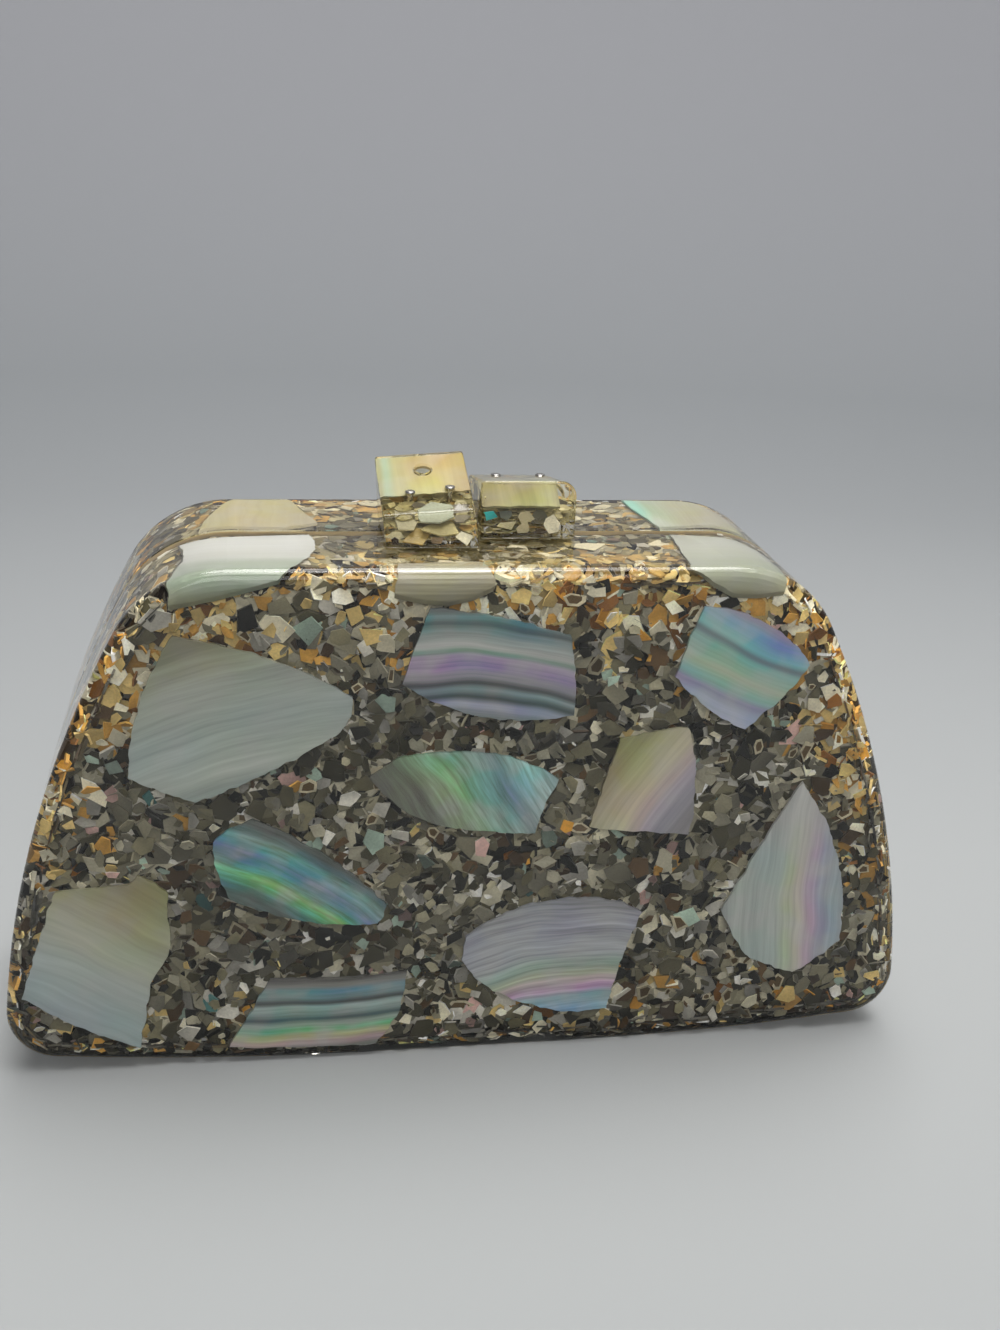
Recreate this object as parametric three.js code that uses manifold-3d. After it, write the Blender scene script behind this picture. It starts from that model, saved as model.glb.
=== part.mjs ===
// An evening clutch cast in clear resin that is packed with crushed shell. Two hollow halves swing
// on a pair of small hinges let into the underside, and two resin blocks on top lap over the seam
// to make the clasp. Large pieces of mother-of-pearl and abalone lie flush in the resin.
// Millimetres, +Z up, the front faces -Y. The origin is on the base, under the middle of the seam.

import * as THREE from 'three';
import { mergeVertices } from 'three/addons/utils/BufferGeometryUtils.js';
import Module from 'manifold-3d';

const wasm = await Module();
wasm.setup();

// Driving dimensions of the body
const BODY_WIDTH = 198;
const BODY_HEIGHT = 113;
const BODY_DEPTH = 54;
const WALL = 4.5;
const EDGE_RADIUS = 2.5;
const EDGE_STEPS = 4;
const CAVITY_RADIUS = 3;
const CAVITY_STEPS = 2;
const SEAM_CHAMFER = 0.4;
const GAP = 0.3;

// How far a cutting shape reaches past the surface that it cuts
const CUT_PAST = 1;

// Front outline: the base bows up from a flat middle, and the sides lean in more and more
const BOW_RADIUS = 620;
const BOW_TURN = 6;
const BOTTOM_CORNER_RADIUS = 11;
const SIDE_LEAN_LOW = 5.5;
const SIDE_LEAN_HIGH = 28.5;
const TOP_CORNER_RADIUS = 25;

// Shell pieces set flush in the resin
const INLAY_THICKNESS = 1.2;
const ARC_STEP = 5;
const EDGE_TILT = 45;

// Clasp blocks and the pins that hold each one to its own half
const CLASP_EDGE = 0.8;
const CLASP_MIN_RADIUS = 0.1;
const CLASP_STEPS = 4;
const PIN_RADIUS = 0.65;
const PIN_HEAD_RADIUS = 1.1;
const PIN_HEAD_HEIGHT = 0.6;
const PIN_SHOULDER_RADIUS = 0.88;
const PIN_SHOULDER_HEIGHT = 0.42;
const PIN_SEAT = 3;
const PIN_SIDES = 12;

// Hinges let into the underside
const HINGE_X = 32;
const HINGE_LENGTH = 22;
const HINGE_Z = 1.8;
const BARREL_RADIUS = 1.5;
const BARREL_SIDES = 16;
const HINGE_PIN_RADIUS = 0.6;
const LEAF_REACH = 9;
const LEAF_THICKNESS = 1;
const GROOVE_HALF_WIDTH = 2.3;
const GROOVE_LENGTH = 170;

// Large shell pieces on the face, clockwise from the upper left as the face is seen.
// Columns: corner x, corner z, and how far the side to the next corner swells outwards.
const FACE_PIECES = {
  upper_left: [[-61.8, 99.6, 2], [-26.8, 86, 0.8], [-29, 78.5, 1], [-58.5, 63.8, 0.3], [-71.3, 69.4, 2.4]],
  upper_middle: [[-11.8, 105, 0.9], [17.2, 98.6, 0.4], [19, 81.4, 4], [-17, 88.8, 0]],
  upper_right: [[44.5, 104.7, 1], [58.8, 100.6, 0.7], [69, 91.6, 0.8], [56, 77, 1.2], [39.8, 89.4, 0]],
  centre_leaf: [
    [-23.2, 68.3, 0.3], [-16, 72.8, 0.8], [3.7, 72.7, 0.5],
    [16.7, 66.6, -0.6], [12.1, 53.8, 0.3], [-6.2, 56.1, 2.2],
  ],
  centre_right: [[29.4, 75.4, 0.3], [43.9, 78, 1.6], [46, 52.2, 0], [24, 55, 0.3]],
  lower_left: [[-55.1, 54.5, 0.5], [-47.2, 59.5, 2], [-19.5, 38.2, 0.5], [-21, 33.4, 2.2], [-51.9, 41, 1]],
  right_side: [[70.5, 64.4, 3.8], [84.3, 24.1, 0.5], [74.1, 16.1, 0.5], [62.1, 21.3, 0.2], [55.5, 32.8, 0.3]],
  left_corner: [
    [-87, 44.3, 0], [-72.1, 45.3, 0], [-70.4, 47.5, 0.3], [-64.5, 42.8, -0.4],
    [-64.1, 30.8, 0.3], [-69, 21.2, 0.2], [-71.7, 5.5, 1], [-95.2, 19.1, 0.3],
  ],
  base_left: [[-43.5, 21, -0.7], [-14.5, 21, 0], [-15.8, 11.1, 0.3], [-21.1, 3, 0.4], [-52.7, 4.2, 0.2]],
  base_right: [
    [-2, 29.2, 3.2], [27.4, 37.5, 0.8], [37.2, 33.5, -0.8], [31, 9.2, 0], [24.4, 8.3, 1.8], [0.6, 18.4, 1.5],
  ],
};

// Pieces that lie over the rounded top edge. Columns: corner x, distance from the edge, which is
// positive back along the top and negative down the face, and the swelling of the side.
const FRONT_EDGE_PIECES = {
  edge_left: [
    [-60.8, 21, 0.3], [-34.3, 24, 0.4], [-33.8, 14, 1.2], [-41.5, -1.5, 0.3],
    [-62.4, -6.6, 0], [-62.3, -2, 0.2], [-59.3, 12.5, 0],
  ],
  edge_middle: [[-18, 4, 0], [-1, 5, 0], [1.2, -3, 0.5], [-8, -6.3, 0.3], [-18.8, -4.5, 0]],
  edge_right: [
    [43, 23.5, 0.3], [57, 20.5, 0.5], [62, 12, 0.3], [61.2, -4.6, 0.4], [50.5, -5, 0.5], [41.5, 1, 0],
  ],
};
const BACK_EDGE_PIECES = {
  edge_left: [[-61.5, 20, 0.4], [-42, 23.5, 0], [-38.6, 1.5, 0], [-57, 2, 0.5], [-63, 8, 0.3]],
  edge_right: [
    [32.5, 20, 0.3], [39.5, 23.5, 0], [57, 22.5, 0.5], [54.6, 11.5, 0.4], [50, 1, 0], [38, 1, 0], [36, 8, 0],
  ],
};

// The two clasp blocks, each with its own half in front. Plan limits, mean heights at the front and
// the back, the rise of the top from left to right, the sideways lean of each side at the top, the
// radius of each upper edge, and the pins as [x, y].
const FRONT_CLASP = {
  left: -19.4, right: -0.2, front: -14.3, back: 6.7, frontHeight: 7.6, backHeight: 14.9, sideRise: 1.4,
  leftLean: -1, rightLean: -1.4, leftRadius: 0.8, rightRadius: 0.8,
  pins: [[-14.1, -6.9], [-5.8, -6.2]],
  dimple: { x: -9.5, y: 1.1, radius: 1.8, depth: 2.5 },
};
const BACK_CLASP = {
  left: -20.8, right: -0.9, front: -13.5, back: 7.8, frontHeight: 8.5, backHeight: 12.6, sideRise: 0,
  leftLean: 0, rightLean: 0, leftRadius: 3.5, rightRadius: 0.8,
  pins: [[-16.3, -10.6], [-6.5, -10.6]],
};

// Colours of the resin, the shell and the metal
const resin = { color: 0x8f8a74, roughness: 0.12, metalness: 0 };
const clearResin = { color: 0xcfc48d, roughness: 0.1, metalness: 0 };
const pearl = { color: 0xb9c2bd, roughness: 0.25, metalness: 0.1 };
const steel = { color: 0xb8b8b5, roughness: 0.3, metalness: 1 };

// Sizes that follow from the driving dimensions
const radians = THREE.MathUtils.degToRad;
const lerp = THREE.MathUtils.lerp;
const sideStart = radians(90 + SIDE_LEAN_LOW);
const sideEnd = radians(90 + SIDE_LEAN_HIGH);
const bowEnd = radians(BOW_TURN);
const flatHalf = BODY_WIDTH / 2 - BOW_RADIUS * Math.sin(bowEnd)
  - BOTTOM_CORNER_RADIUS * (1 - Math.sin(bowEnd));
const sideBottom = BOW_RADIUS * (1 - Math.cos(bowEnd))
  + BOTTOM_CORNER_RADIUS * (Math.cos(bowEnd) - Math.cos(sideStart));
const sideTop = BODY_HEIGHT - TOP_CORNER_RADIUS * (1 + Math.cos(sideEnd));
const sideRadius = (sideTop - sideBottom) / (Math.cos(sideStart) - Math.cos(sideEnd));
const claspBase = BODY_HEIGHT + GAP;

// The right-hand half of the outline as a chain of arcs, each turning on to a new heading
const outlineArcs = [
  { radius: BOW_RADIUS, heading: bowEnd, steps: 3 },
  { radius: BOTTOM_CORNER_RADIUS, heading: sideStart, steps: 7 },
  { radius: sideRadius, heading: sideEnd, steps: 5 },
  { radius: TOP_CORNER_RADIUS, heading: Math.PI, steps: 6 },
];

// The whole outline, anticlockwise seen from the front, moved inwards by the inset
function outline(inset) {
  const half = [new THREE.Vector2(flatHalf, inset)];
  let heading = 0;
  for (const arc of outlineArcs) {
    const start = half.at(-1);
    const radius = arc.radius - inset;
    for (let i = 1; i <= arc.steps; i++) {
      const angle = lerp(heading, arc.heading, i / arc.steps);
      const x = start.x + radius * (Math.sin(angle) - Math.sin(heading));
      const z = start.y + radius * (Math.cos(heading) - Math.cos(angle));
      half.push(new THREE.Vector2(x, z));
    }
    heading = arc.heading;
  }
  const mirrored = half.map((p) => new THREE.Vector2(-p.x, p.y)).reverse();
  return [...half, ...mirrored];
}

function ring(points, y) {
  return points.map((p) => new THREE.Vector3(p.x, y, p.y));
}

// Skin through rings of equal count that run towards the front, with a flat cap at each end
function loft(rings) {
  const count = rings[0].length;
  const last = (rings.length - 1) * count;
  const index = [];
  for (let i = 0; i < rings.length - 1; i++) {
    for (let j = 0; j < count; j++) {
      const a = i * count + j;
      const b = i * count + (j + 1) % count;
      index.push(a, b, b + count, a, b + count, a + count);
    }
  }
  for (let j = 1; j < count - 1; j++) {
    index.push(0, j + 1, j, last, last + j, last + j + 1);
  }
  const geometry = new THREE.BufferGeometry().setFromPoints(rings.flat());
  return geometry.setIndex(index);
}

// Rings round the outside of a half, from the seam to the face, all moved inwards by the inset
function skinRings(inset) {
  const radius = EDGE_RADIUS - inset;
  const rings = [
    ring(outline(inset + SEAM_CHAMFER), -GAP / 2),
    ring(outline(inset), -GAP / 2 - SEAM_CHAMFER),
  ];
  for (let i = 0; i <= EDGE_STEPS; i++) {
    const angle = (i / EDGE_STEPS) * Math.PI / 2;
    const y = -BODY_DEPTH / 2 + EDGE_RADIUS - radius * Math.sin(angle);
    rings.push(ring(outline(inset + radius * (1 - Math.cos(angle))), y));
  }
  return rings;
}

// Rings of the hollow, from its floor behind the face out to the seam
function cavityRings() {
  const floor = -BODY_DEPTH / 2 + WALL;
  const rings = [];
  for (let i = CAVITY_STEPS; i >= 0; i--) {
    const angle = (i / CAVITY_STEPS) * Math.PI / 2;
    const inset = WALL + CAVITY_RADIUS * (1 - Math.cos(angle));
    rings.push(ring(outline(inset), floor + CAVITY_RADIUS * (1 - Math.sin(angle))));
  }
  rings.push(ring(outline(WALL), -GAP / 2));
  return rings;
}

function toSolid(geometry) {
  const bare = geometry.clone();
  bare.deleteAttribute('normal');
  bare.deleteAttribute('uv');
  const merged = mergeVertices(bare);
  const vertProperties = new Float32Array(merged.attributes.position.array);
  const triVerts = new Uint32Array(merged.index.array);
  return new wasm.Manifold(new wasm.Mesh({ numProp: 3, vertProperties, triVerts }));
}

function toGeometry(solid) {
  const mesh = solid.getMesh();
  const geometry = new THREE.BufferGeometry();
  geometry.setAttribute('position', new THREE.BufferAttribute(mesh.vertProperties, 3));
  geometry.setIndex(new THREE.BufferAttribute(mesh.triVerts, 1));
  geometry.computeVertexNormals();
  return geometry;
}

function toMesh(name, geometry, finish) {
  const mesh = new THREE.Mesh(geometry, new THREE.MeshStandardMaterial(finish));
  mesh.name = name;
  return mesh;
}

// Corner table to an outline whose sides swell by the third column, left of the way round
function swellingOutline(rows) {
  const points = [];
  rows.forEach(([x, z, swell], i) => {
    const [nextX, nextZ] = rows[(i + 1) % rows.length];
    const length = Math.hypot(nextX - x, nextZ - z);
    const steps = swell === 0 ? 1 : Math.max(2, Math.round(length / ARC_STEP));
    for (let k = 0; k < steps; k++) {
      const t = k / steps;
      const rise = 4 * swell * t * (1 - t) / length;
      const px = lerp(x, nextX, t) - rise * (nextZ - z);
      const pz = lerp(z, nextZ, t) + rise * (nextX - x);
      points.push(new THREE.Vector2(px, pz));
    }
  });
  return points;
}

// An outline with every side moved outwards by the same distance
function grow(points, distance) {
  return points.map((p, i) => {
    const before = p.clone().sub(points.at(i - 1)).normalize();
    const after = points[(i + 1) % points.length].clone().sub(p).normalize();
    const miter = new THREE.Vector2(-before.y - after.y, before.x + after.x);
    return p.clone().addScaledVector(miter, distance / (1 + before.dot(after)));
  });
}

function extruded(points, depth) {
  return new THREE.ExtrudeGeometry(new THREE.Shape(points), { depth, bevelEnabled: false });
}

// Prism that cuts a piece out of the face, seen straight from the front
function facePrism(points) {
  return toSolid(extruded(points, BODY_DEPTH).rotateX(Math.PI / 2));
}

// Prism that cuts a piece out of the rounded top edge, seen along the slope between top and face
function edgePrism(points) {
  const slope = Math.cos(radians(EDGE_TILT));
  const seen = points.map((p) => new THREE.Vector2(p.x, p.y * slope));
  const prism = extruded(seen, BODY_DEPTH).translate(0, 0, -BODY_DEPTH / 2);
  return toSolid(prism.rotateX(radians(EDGE_TILT)).translate(0, -BODY_DEPTH / 2, BODY_HEIGHT));
}

function claspHeight(clasp, x, y) {
  const mean = THREE.MathUtils.mapLinear(y, clasp.front, clasp.back, clasp.frontHeight, clasp.backHeight);
  const middle = (clasp.left + clasp.right) / 2;
  return mean + clasp.sideRise * (x - middle) / (clasp.right - clasp.left);
}

// Front view of a clasp block at one depth, anticlockwise, with its upper edges rounded
function claspProfile(clasp, y, inset) {
  const { left, right, leftLean, rightLean } = clasp;
  const corners = [
    { x: right, z: 0, sx: -1, sz: 1, radius: CLASP_EDGE, from: -90 },
    { x: right, z: claspHeight(clasp, right, y), sx: -1, sz: -1, radius: clasp.rightRadius, from: 0 },
    { x: left, z: claspHeight(clasp, left, y), sx: 1, sz: -1, radius: clasp.leftRadius, from: 90 },
    { x: left, z: 0, sx: 1, sz: 1, radius: CLASP_EDGE, from: 180 },
  ];
  const points = [];
  for (const corner of corners) {
    const radius = Math.max(corner.radius - inset, CLASP_MIN_RADIUS);
    for (let i = 0; i <= CLASP_STEPS; i++) {
      const angle = radians(corner.from + 90 * i / CLASP_STEPS);
      const x = corner.x + corner.sx * (radius + inset) + radius * Math.cos(angle);
      const z = corner.z + corner.sz * (radius + inset) + radius * Math.sin(angle);
      const lean = THREE.MathUtils.mapLinear(x, left, right, leftLean, rightLean);
      points.push(new THREE.Vector2(x + lean * z / claspHeight(clasp, x, y), claspBase + z));
    }
  }
  return points;
}

function uprightCylinder(x, y, bottom, top, radius) {
  const cylinder = new THREE.CylinderGeometry(radius, radius, top - bottom, PIN_SIDES);
  return toSolid(cylinder.rotateX(Math.PI / 2).translate(x, y, (bottom + top) / 2));
}

function claspPinBores(clasp) {
  const bottom = BODY_HEIGHT - PIN_SEAT - GAP;
  const top = claspBase + clasp.backHeight + clasp.sideRise;
  return clasp.pins.map(([x, y]) => uprightCylinder(x, y, bottom, top, PIN_RADIUS + GAP));
}

function claspBlock(clasp) {
  const stations = [
    { y: clasp.back, inset: CLASP_EDGE },
    { y: clasp.back - CLASP_EDGE, inset: 0 },
    { y: clasp.front + CLASP_EDGE, inset: 0 },
    { y: clasp.front, inset: CLASP_EDGE },
  ];
  const rings = stations.map(({ y, inset }) => ring(claspProfile(clasp, y, inset), y));
  let block = toSolid(loft(rings));
  for (const bore of claspPinBores(clasp)) {
    block = block.subtract(bore);
  }
  if (clasp.dimple) {
    const { x, y, radius, depth } = clasp.dimple;
    const mouth = claspBase + claspHeight(clasp, x, y);
    block = block.subtract(uprightCylinder(x, y, mouth - depth, mouth + CUT_PAST, radius));
  }
  return toGeometry(block);
}

// Domed pin that goes down through the block into the top wall of the half
function claspPin(clasp, [x, y]) {
  const seat = claspBase + claspHeight(clasp, x + PIN_HEAD_RADIUS, y + PIN_HEAD_RADIUS) + GAP;
  const bottom = BODY_HEIGHT - PIN_SEAT;
  const profile = [
    new THREE.Vector2(0, bottom),
    new THREE.Vector2(PIN_RADIUS, bottom),
    new THREE.Vector2(PIN_RADIUS, seat),
    new THREE.Vector2(PIN_HEAD_RADIUS, seat),
    new THREE.Vector2(PIN_SHOULDER_RADIUS, seat + PIN_SHOULDER_HEIGHT),
    new THREE.Vector2(0, seat + PIN_HEAD_HEIGHT),
  ];
  return new THREE.LatheGeometry(profile, PIN_SIDES).rotateX(Math.PI / 2).translate(x, y, 0);
}

// Round bar or tube along X on the hinge axis, from one x to another
function barrel(from, to, radius) {
  const bar = new THREE.CylinderGeometry(radius, radius, to - from, BARREL_SIDES);
  return bar.rotateZ(Math.PI / 2).translate((from + to) / 2, 0, HINGE_Z);
}

function boxBetween(low, high) {
  const size = high.clone().sub(low);
  const centre = low.clone().add(high).multiplyScalar(0.5);
  return new THREE.BoxGeometry(size.x, size.y, size.z).translate(centre.x, centre.y, centre.z);
}

// Room in the underside for one hinge: a shallow pocket for the leaf and a trough for the barrel
function hingeRoom(x) {
  const from = x - HINGE_LENGTH / 2 - GAP;
  const to = x + HINGE_LENGTH / 2 + GAP;
  const low = new THREE.Vector3(from, -LEAF_REACH - GAP, -CUT_PAST);
  const high = new THREE.Vector3(to, CUT_PAST, HINGE_Z + LEAF_THICKNESS / 2 + GAP);
  return toSolid(boxBetween(low, high)).add(toSolid(barrel(from, to, BARREL_RADIUS + GAP)));
}

// Groove along the underside of the seam, so that the lower edges clear each other as it opens
function seamGroove() {
  const halfWidth = GROOVE_HALF_WIDTH * (HINGE_Z + CUT_PAST) / HINGE_Z;
  const triangle = [
    new THREE.Vector2(0, HINGE_Z),
    new THREE.Vector2(-halfWidth, -CUT_PAST),
    new THREE.Vector2(halfWidth, -CUT_PAST),
  ];
  const prism = extruded(triangle, GROOVE_LENGTH).translate(0, 0, -GROOVE_LENGTH / 2);
  return toSolid(prism.rotateX(Math.PI / 2).rotateZ(Math.PI / 2));
}

// A hinge leaf with its knuckles, each given as the share of the hinge's length that it spans
function hingeLeaf(x, knuckles) {
  const start = x - HINGE_LENGTH / 2;
  const end = x + HINGE_LENGTH / 2;
  const bottom = HINGE_Z - LEAF_THICKNESS / 2;
  const top = HINGE_Z + LEAF_THICKNESS / 2;
  const near = -BARREL_RADIUS - GAP;
  const plateLow = new THREE.Vector3(start, -LEAF_REACH, bottom);
  let leaf = toSolid(boxBetween(plateLow, new THREE.Vector3(end, near, top)));
  for (const [first, second] of knuckles) {
    const from = lerp(start, end, first);
    const to = lerp(start, end, second);
    const tabLow = new THREE.Vector3(from, near - LEAF_THICKNESS, bottom);
    const tab = boxBetween(tabLow, new THREE.Vector3(to, 0, top));
    leaf = leaf.add(toSolid(tab)).add(toSolid(barrel(from, to, BARREL_RADIUS)));
  }
  return toGeometry(leaf.subtract(toSolid(barrel(start - CUT_PAST, end + CUT_PAST, HINGE_PIN_RADIUS + GAP))));
}

function mirroredRows(rows) {
  return rows.map(([x, z], i) => {
    const swell = rows.at(i - 1)[2];
    return [-x, z, swell];
  }).reverse();
}

// One half with its shell pieces, clasp block, pins and hinge leaves, its face towards -Y
function buildHalf({ name, facePieces, edgePieces, clasp, knuckles }) {
  const group = new THREE.Group();
  const block = toSolid(loft(skinRings(0)));
  const underInlay = toSolid(loft(skinRings(INLAY_THICKNESS)));
  const underPocket = toSolid(loft(skinRings(INLAY_THICKNESS + GAP)));
  let shell = toSolid(loft([...cavityRings(), ...skinRings(0)]));

  const inlay = (pieceName, rows, prism) => {
    const points = swellingOutline(rows);
    const piece = block.intersect(prism(points)).subtract(underInlay);
    shell = shell.subtract(prism(grow(points, GAP)).subtract(underPocket));
    group.add(toMesh(`${name}_inlay_${pieceName}`, toGeometry(piece), pearl));
  };
  Object.entries(facePieces).forEach(([pieceName, rows]) => inlay(pieceName, rows, facePrism));
  Object.entries(edgePieces).forEach(([pieceName, rows]) => inlay(pieceName, rows, edgePrism));

  for (const bore of claspPinBores(clasp)) {
    shell = shell.subtract(bore);
  }
  group.add(toMesh(`${name}_clasp_block`, claspBlock(clasp), clearResin));
  clasp.pins.forEach((pin, i) => {
    group.add(toMesh(`${name}_clasp_pin_${i + 1}`, claspPin(clasp, pin), steel));
  });

  shell = shell.subtract(seamGroove());
  for (const [side, x] of [['left', -HINGE_X], ['right', HINGE_X]]) {
    shell = shell.subtract(hingeRoom(x));
    group.add(toMesh(`${name}_hinge_leaf_${side}`, hingeLeaf(x, knuckles), steel));
  }
  group.add(toMesh(`${name}_shell`, toGeometry(shell), resin));
  return group;
}

const clutch = new THREE.Group();
clutch.add(buildHalf({
  name: 'front',
  facePieces: FACE_PIECES,
  edgePieces: FRONT_EDGE_PIECES,
  clasp: FRONT_CLASP,
  knuckles: [[0, 0.3], [0.7, 1]],
}));

const back = buildHalf({
  name: 'back',
  facePieces: Object.fromEntries(Object.entries(FACE_PIECES).map(([key, rows]) => [key, mirroredRows(rows)])),
  edgePieces: BACK_EDGE_PIECES,
  clasp: BACK_CLASP,
  knuckles: [[0.32, 0.68]],
});
back.rotation.z = Math.PI;
clutch.add(back);

for (const [side, x] of [['left', -HINGE_X], ['right', HINGE_X]]) {
  const pin = barrel(x - HINGE_LENGTH / 2, x + HINGE_LENGTH / 2, HINGE_PIN_RADIUS);
  clutch.add(toMesh(`hinge_pin_${side}`, pin, steel));
}

export default clutch;
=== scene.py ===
# %% [markdown]
# # An evening clutch of cast resin and shell
# The clutch is two hollow halves of clear resin. Crushed shell fills the resin, broken pieces of
# mother-of-pearl and abalone lie just under its polished face, and two small resin blocks make the
# clasp on top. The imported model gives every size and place, so it is loaded first and nothing in it
# is ever moved.

# %% Load the frame
import math

import bpy
import numpy as np
from mathutils import Matrix, Vector, noise
from mathutils.bvhtree import BVHTree


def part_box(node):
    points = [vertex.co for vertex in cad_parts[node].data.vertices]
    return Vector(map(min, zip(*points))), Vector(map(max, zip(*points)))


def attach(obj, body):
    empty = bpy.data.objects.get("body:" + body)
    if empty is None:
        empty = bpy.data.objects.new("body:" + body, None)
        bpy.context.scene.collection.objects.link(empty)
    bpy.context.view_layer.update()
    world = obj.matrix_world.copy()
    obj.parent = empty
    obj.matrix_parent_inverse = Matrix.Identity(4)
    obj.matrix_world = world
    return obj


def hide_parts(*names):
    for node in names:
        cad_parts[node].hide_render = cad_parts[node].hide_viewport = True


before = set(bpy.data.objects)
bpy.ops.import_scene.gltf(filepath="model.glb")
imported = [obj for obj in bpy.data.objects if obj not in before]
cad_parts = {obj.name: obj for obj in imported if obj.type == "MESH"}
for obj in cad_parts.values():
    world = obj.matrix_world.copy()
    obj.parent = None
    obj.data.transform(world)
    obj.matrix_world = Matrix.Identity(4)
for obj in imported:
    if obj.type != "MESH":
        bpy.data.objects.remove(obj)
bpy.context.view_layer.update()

MM = 0.001

# %% [markdown]
# ## Camera
# The photograph looks a little down on the clutch and from its left. Place, turn and focal length
# were found by fitting the clutch's outline, so the camera is set from those values and not by eye.
# Blender measures the lens against the longer side of the picture.

# %% Camera
PHOTO_WIDTH_PX, PHOTO_HEIGHT_PX = 1000, 1330
FOCAL_PX = 1500.2
CAMERA_MM = (-46.9, -304.65, 203.15)
PITCH, YAW, ROLL = (math.radians(angle) for angle in (21.37, 10.14, 2.8))

turn = Matrix.Rotation(ROLL, 3, "Y") @ Matrix.Rotation(PITCH, 3, "X") @ Matrix.Rotation(YAW, 3, "Z")
right, forward, up = turn
facing_photo = Matrix((right, up, -forward)).transposed().to_4x4()
camera_data = bpy.data.cameras.new("camera")
camera_data.lens = FOCAL_PX * camera_data.sensor_width / max(PHOTO_WIDTH_PX, PHOTO_HEIGHT_PX)
camera = bpy.data.objects.new("camera", camera_data)
camera.matrix_world = Matrix.Translation(Vector(CAMERA_MM) * MM) @ facing_photo
bpy.context.scene.collection.objects.link(camera)
bpy.context.scene.camera = camera
print("lens in mm:", round(camera_data.lens, 2))

# %% [markdown]
# ## Helpers for materials
# Colours are written as the hex values that a colour picker shows, and shaders want linear light, so
# one function turns the first into the second. Another adds a node with its settings and links.


# %% Colour and node helpers
def linear(code):
    """An sRGB hex value as linear red, green, blue and alpha."""
    parts = [int(code[i:i + 2], 16) / 255 for i in (1, 3, 5)]
    return tuple(((c + 0.055) / 1.055) ** 2.4 if c > 0.04045 else c / 12.92 for c in parts) + (1.0,)


def add(tree, kind, inputs=None, **settings):
    """A new node of that kind. Each input is a node, whose first output is linked, a socket or a value."""
    node = tree.nodes.new(kind)
    for key, value in settings.items():
        setattr(node, key, value)
    for key, value in (inputs or {}).items():
        if isinstance(value, bpy.types.Node):
            value = value.outputs[0]
        if isinstance(value, bpy.types.NodeSocket):
            tree.links.new(value, node.inputs[key])
        else:
            node.inputs[key].default_value = value
    return node


def new_material(name):
    """An empty material and its node tree."""
    material = bpy.data.materials.new(name)
    material.use_nodes = True
    material.node_tree.nodes.clear()
    return material, material.node_tree


print("mid grey in linear light:", round(linear("#808080")[0], 3))

# %% [markdown]
# ## Floor
# A round sheet of pale paper lies under the clutch and turns up all round it, so no view has a horizon.
# With only one curved back, other views would look past its ends. So it is a filled circle whose rim is
# extruded upwards, with the fold between bevelled round. The operators act on what is selected, so a
# helper first selects the edges or faces that pass a test.


# %% Paper sweep
def pick(piece, parts, wanted):
    """Enters edit mode with only those edges or faces selected that pass the test."""
    bpy.ops.object.mode_set(mode="OBJECT")
    mesh = piece.data
    for kind in (mesh.vertices, mesh.edges, mesh.polygons):
        kind.foreach_set("select", np.zeros(len(kind), bool))
    for part in getattr(mesh, parts):
        part.select = wanted(part)
    bpy.context.tool_settings.mesh_select_mode = (False, parts == "edges", parts == "polygons")
    bpy.ops.object.mode_set(mode="EDIT")


def ends(piece, edge):
    """Where the two ends of an edge lie."""
    return [piece.data.vertices[v].co for v in edge.vertices]


def apply_modifier(piece, kind, **settings):
    """Puts a modifier with those settings on a piece and applies it."""
    bpy.context.view_layer.objects.active = piece
    modifier = piece.modifiers.new(kind.lower(), kind)
    for key, value in settings.items():
        setattr(modifier, key, value)
    bpy.ops.object.modifier_apply(modifier=modifier.name)


SWEEP_CENTRE_Y, SWEEP_RADIUS, SWEEP_HEIGHT, SWEEP_FOLD = -0.45, 1.45, 2.2, 0.55
SWEEP_SIDES, SWEEP_FOLD_STEPS = 96, 24

bpy.ops.mesh.primitive_circle_add(
    vertices=SWEEP_SIDES, radius=SWEEP_RADIUS, fill_type="NGON", location=(0, SWEEP_CENTRE_Y, 0))
sweep = bpy.context.object
sweep.name = "paper_sweep"
bpy.ops.object.transform_apply()
pick(sweep, "edges", lambda edge: True)
bpy.ops.mesh.extrude_edges_move(TRANSFORM_OT_translate={"value": (0, 0, SWEEP_HEIGHT)})
pick(sweep, "edges", lambda edge: all(end.z < SWEEP_FOLD for end in ends(sweep, edge)))
bpy.ops.mesh.bevel(offset=SWEEP_FOLD, segments=SWEEP_FOLD_STEPS)
bpy.ops.object.mode_set(mode="OBJECT")
bpy.ops.object.shade_smooth()
apply_modifier(sweep, "WEIGHTED_NORMAL")
print("sweep faces:", len(sweep.data.polygons))

# %% [markdown]
# Matt paper gives the eye an even tone with no shine. It is painted a little darker in the fold, a painted
# shade where the sheet turns up, so its colour comes from a ramp over the distance from the middle of the
# sheet.

# %% Matt paper
# Columns: distance from the middle as a share of the radius, colour
# The darker middle stop is a painted shade in the fold.
PAPER_TONES_AND_FOLD_SHADE = [(0.36, "#bec0bf"), (0.74, "#a5a8aa"), (1.0, "#bdbdc1")]
# Heights are divided by this much, so that they hardly count in the distance.
FLATTEN = 1000

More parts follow.
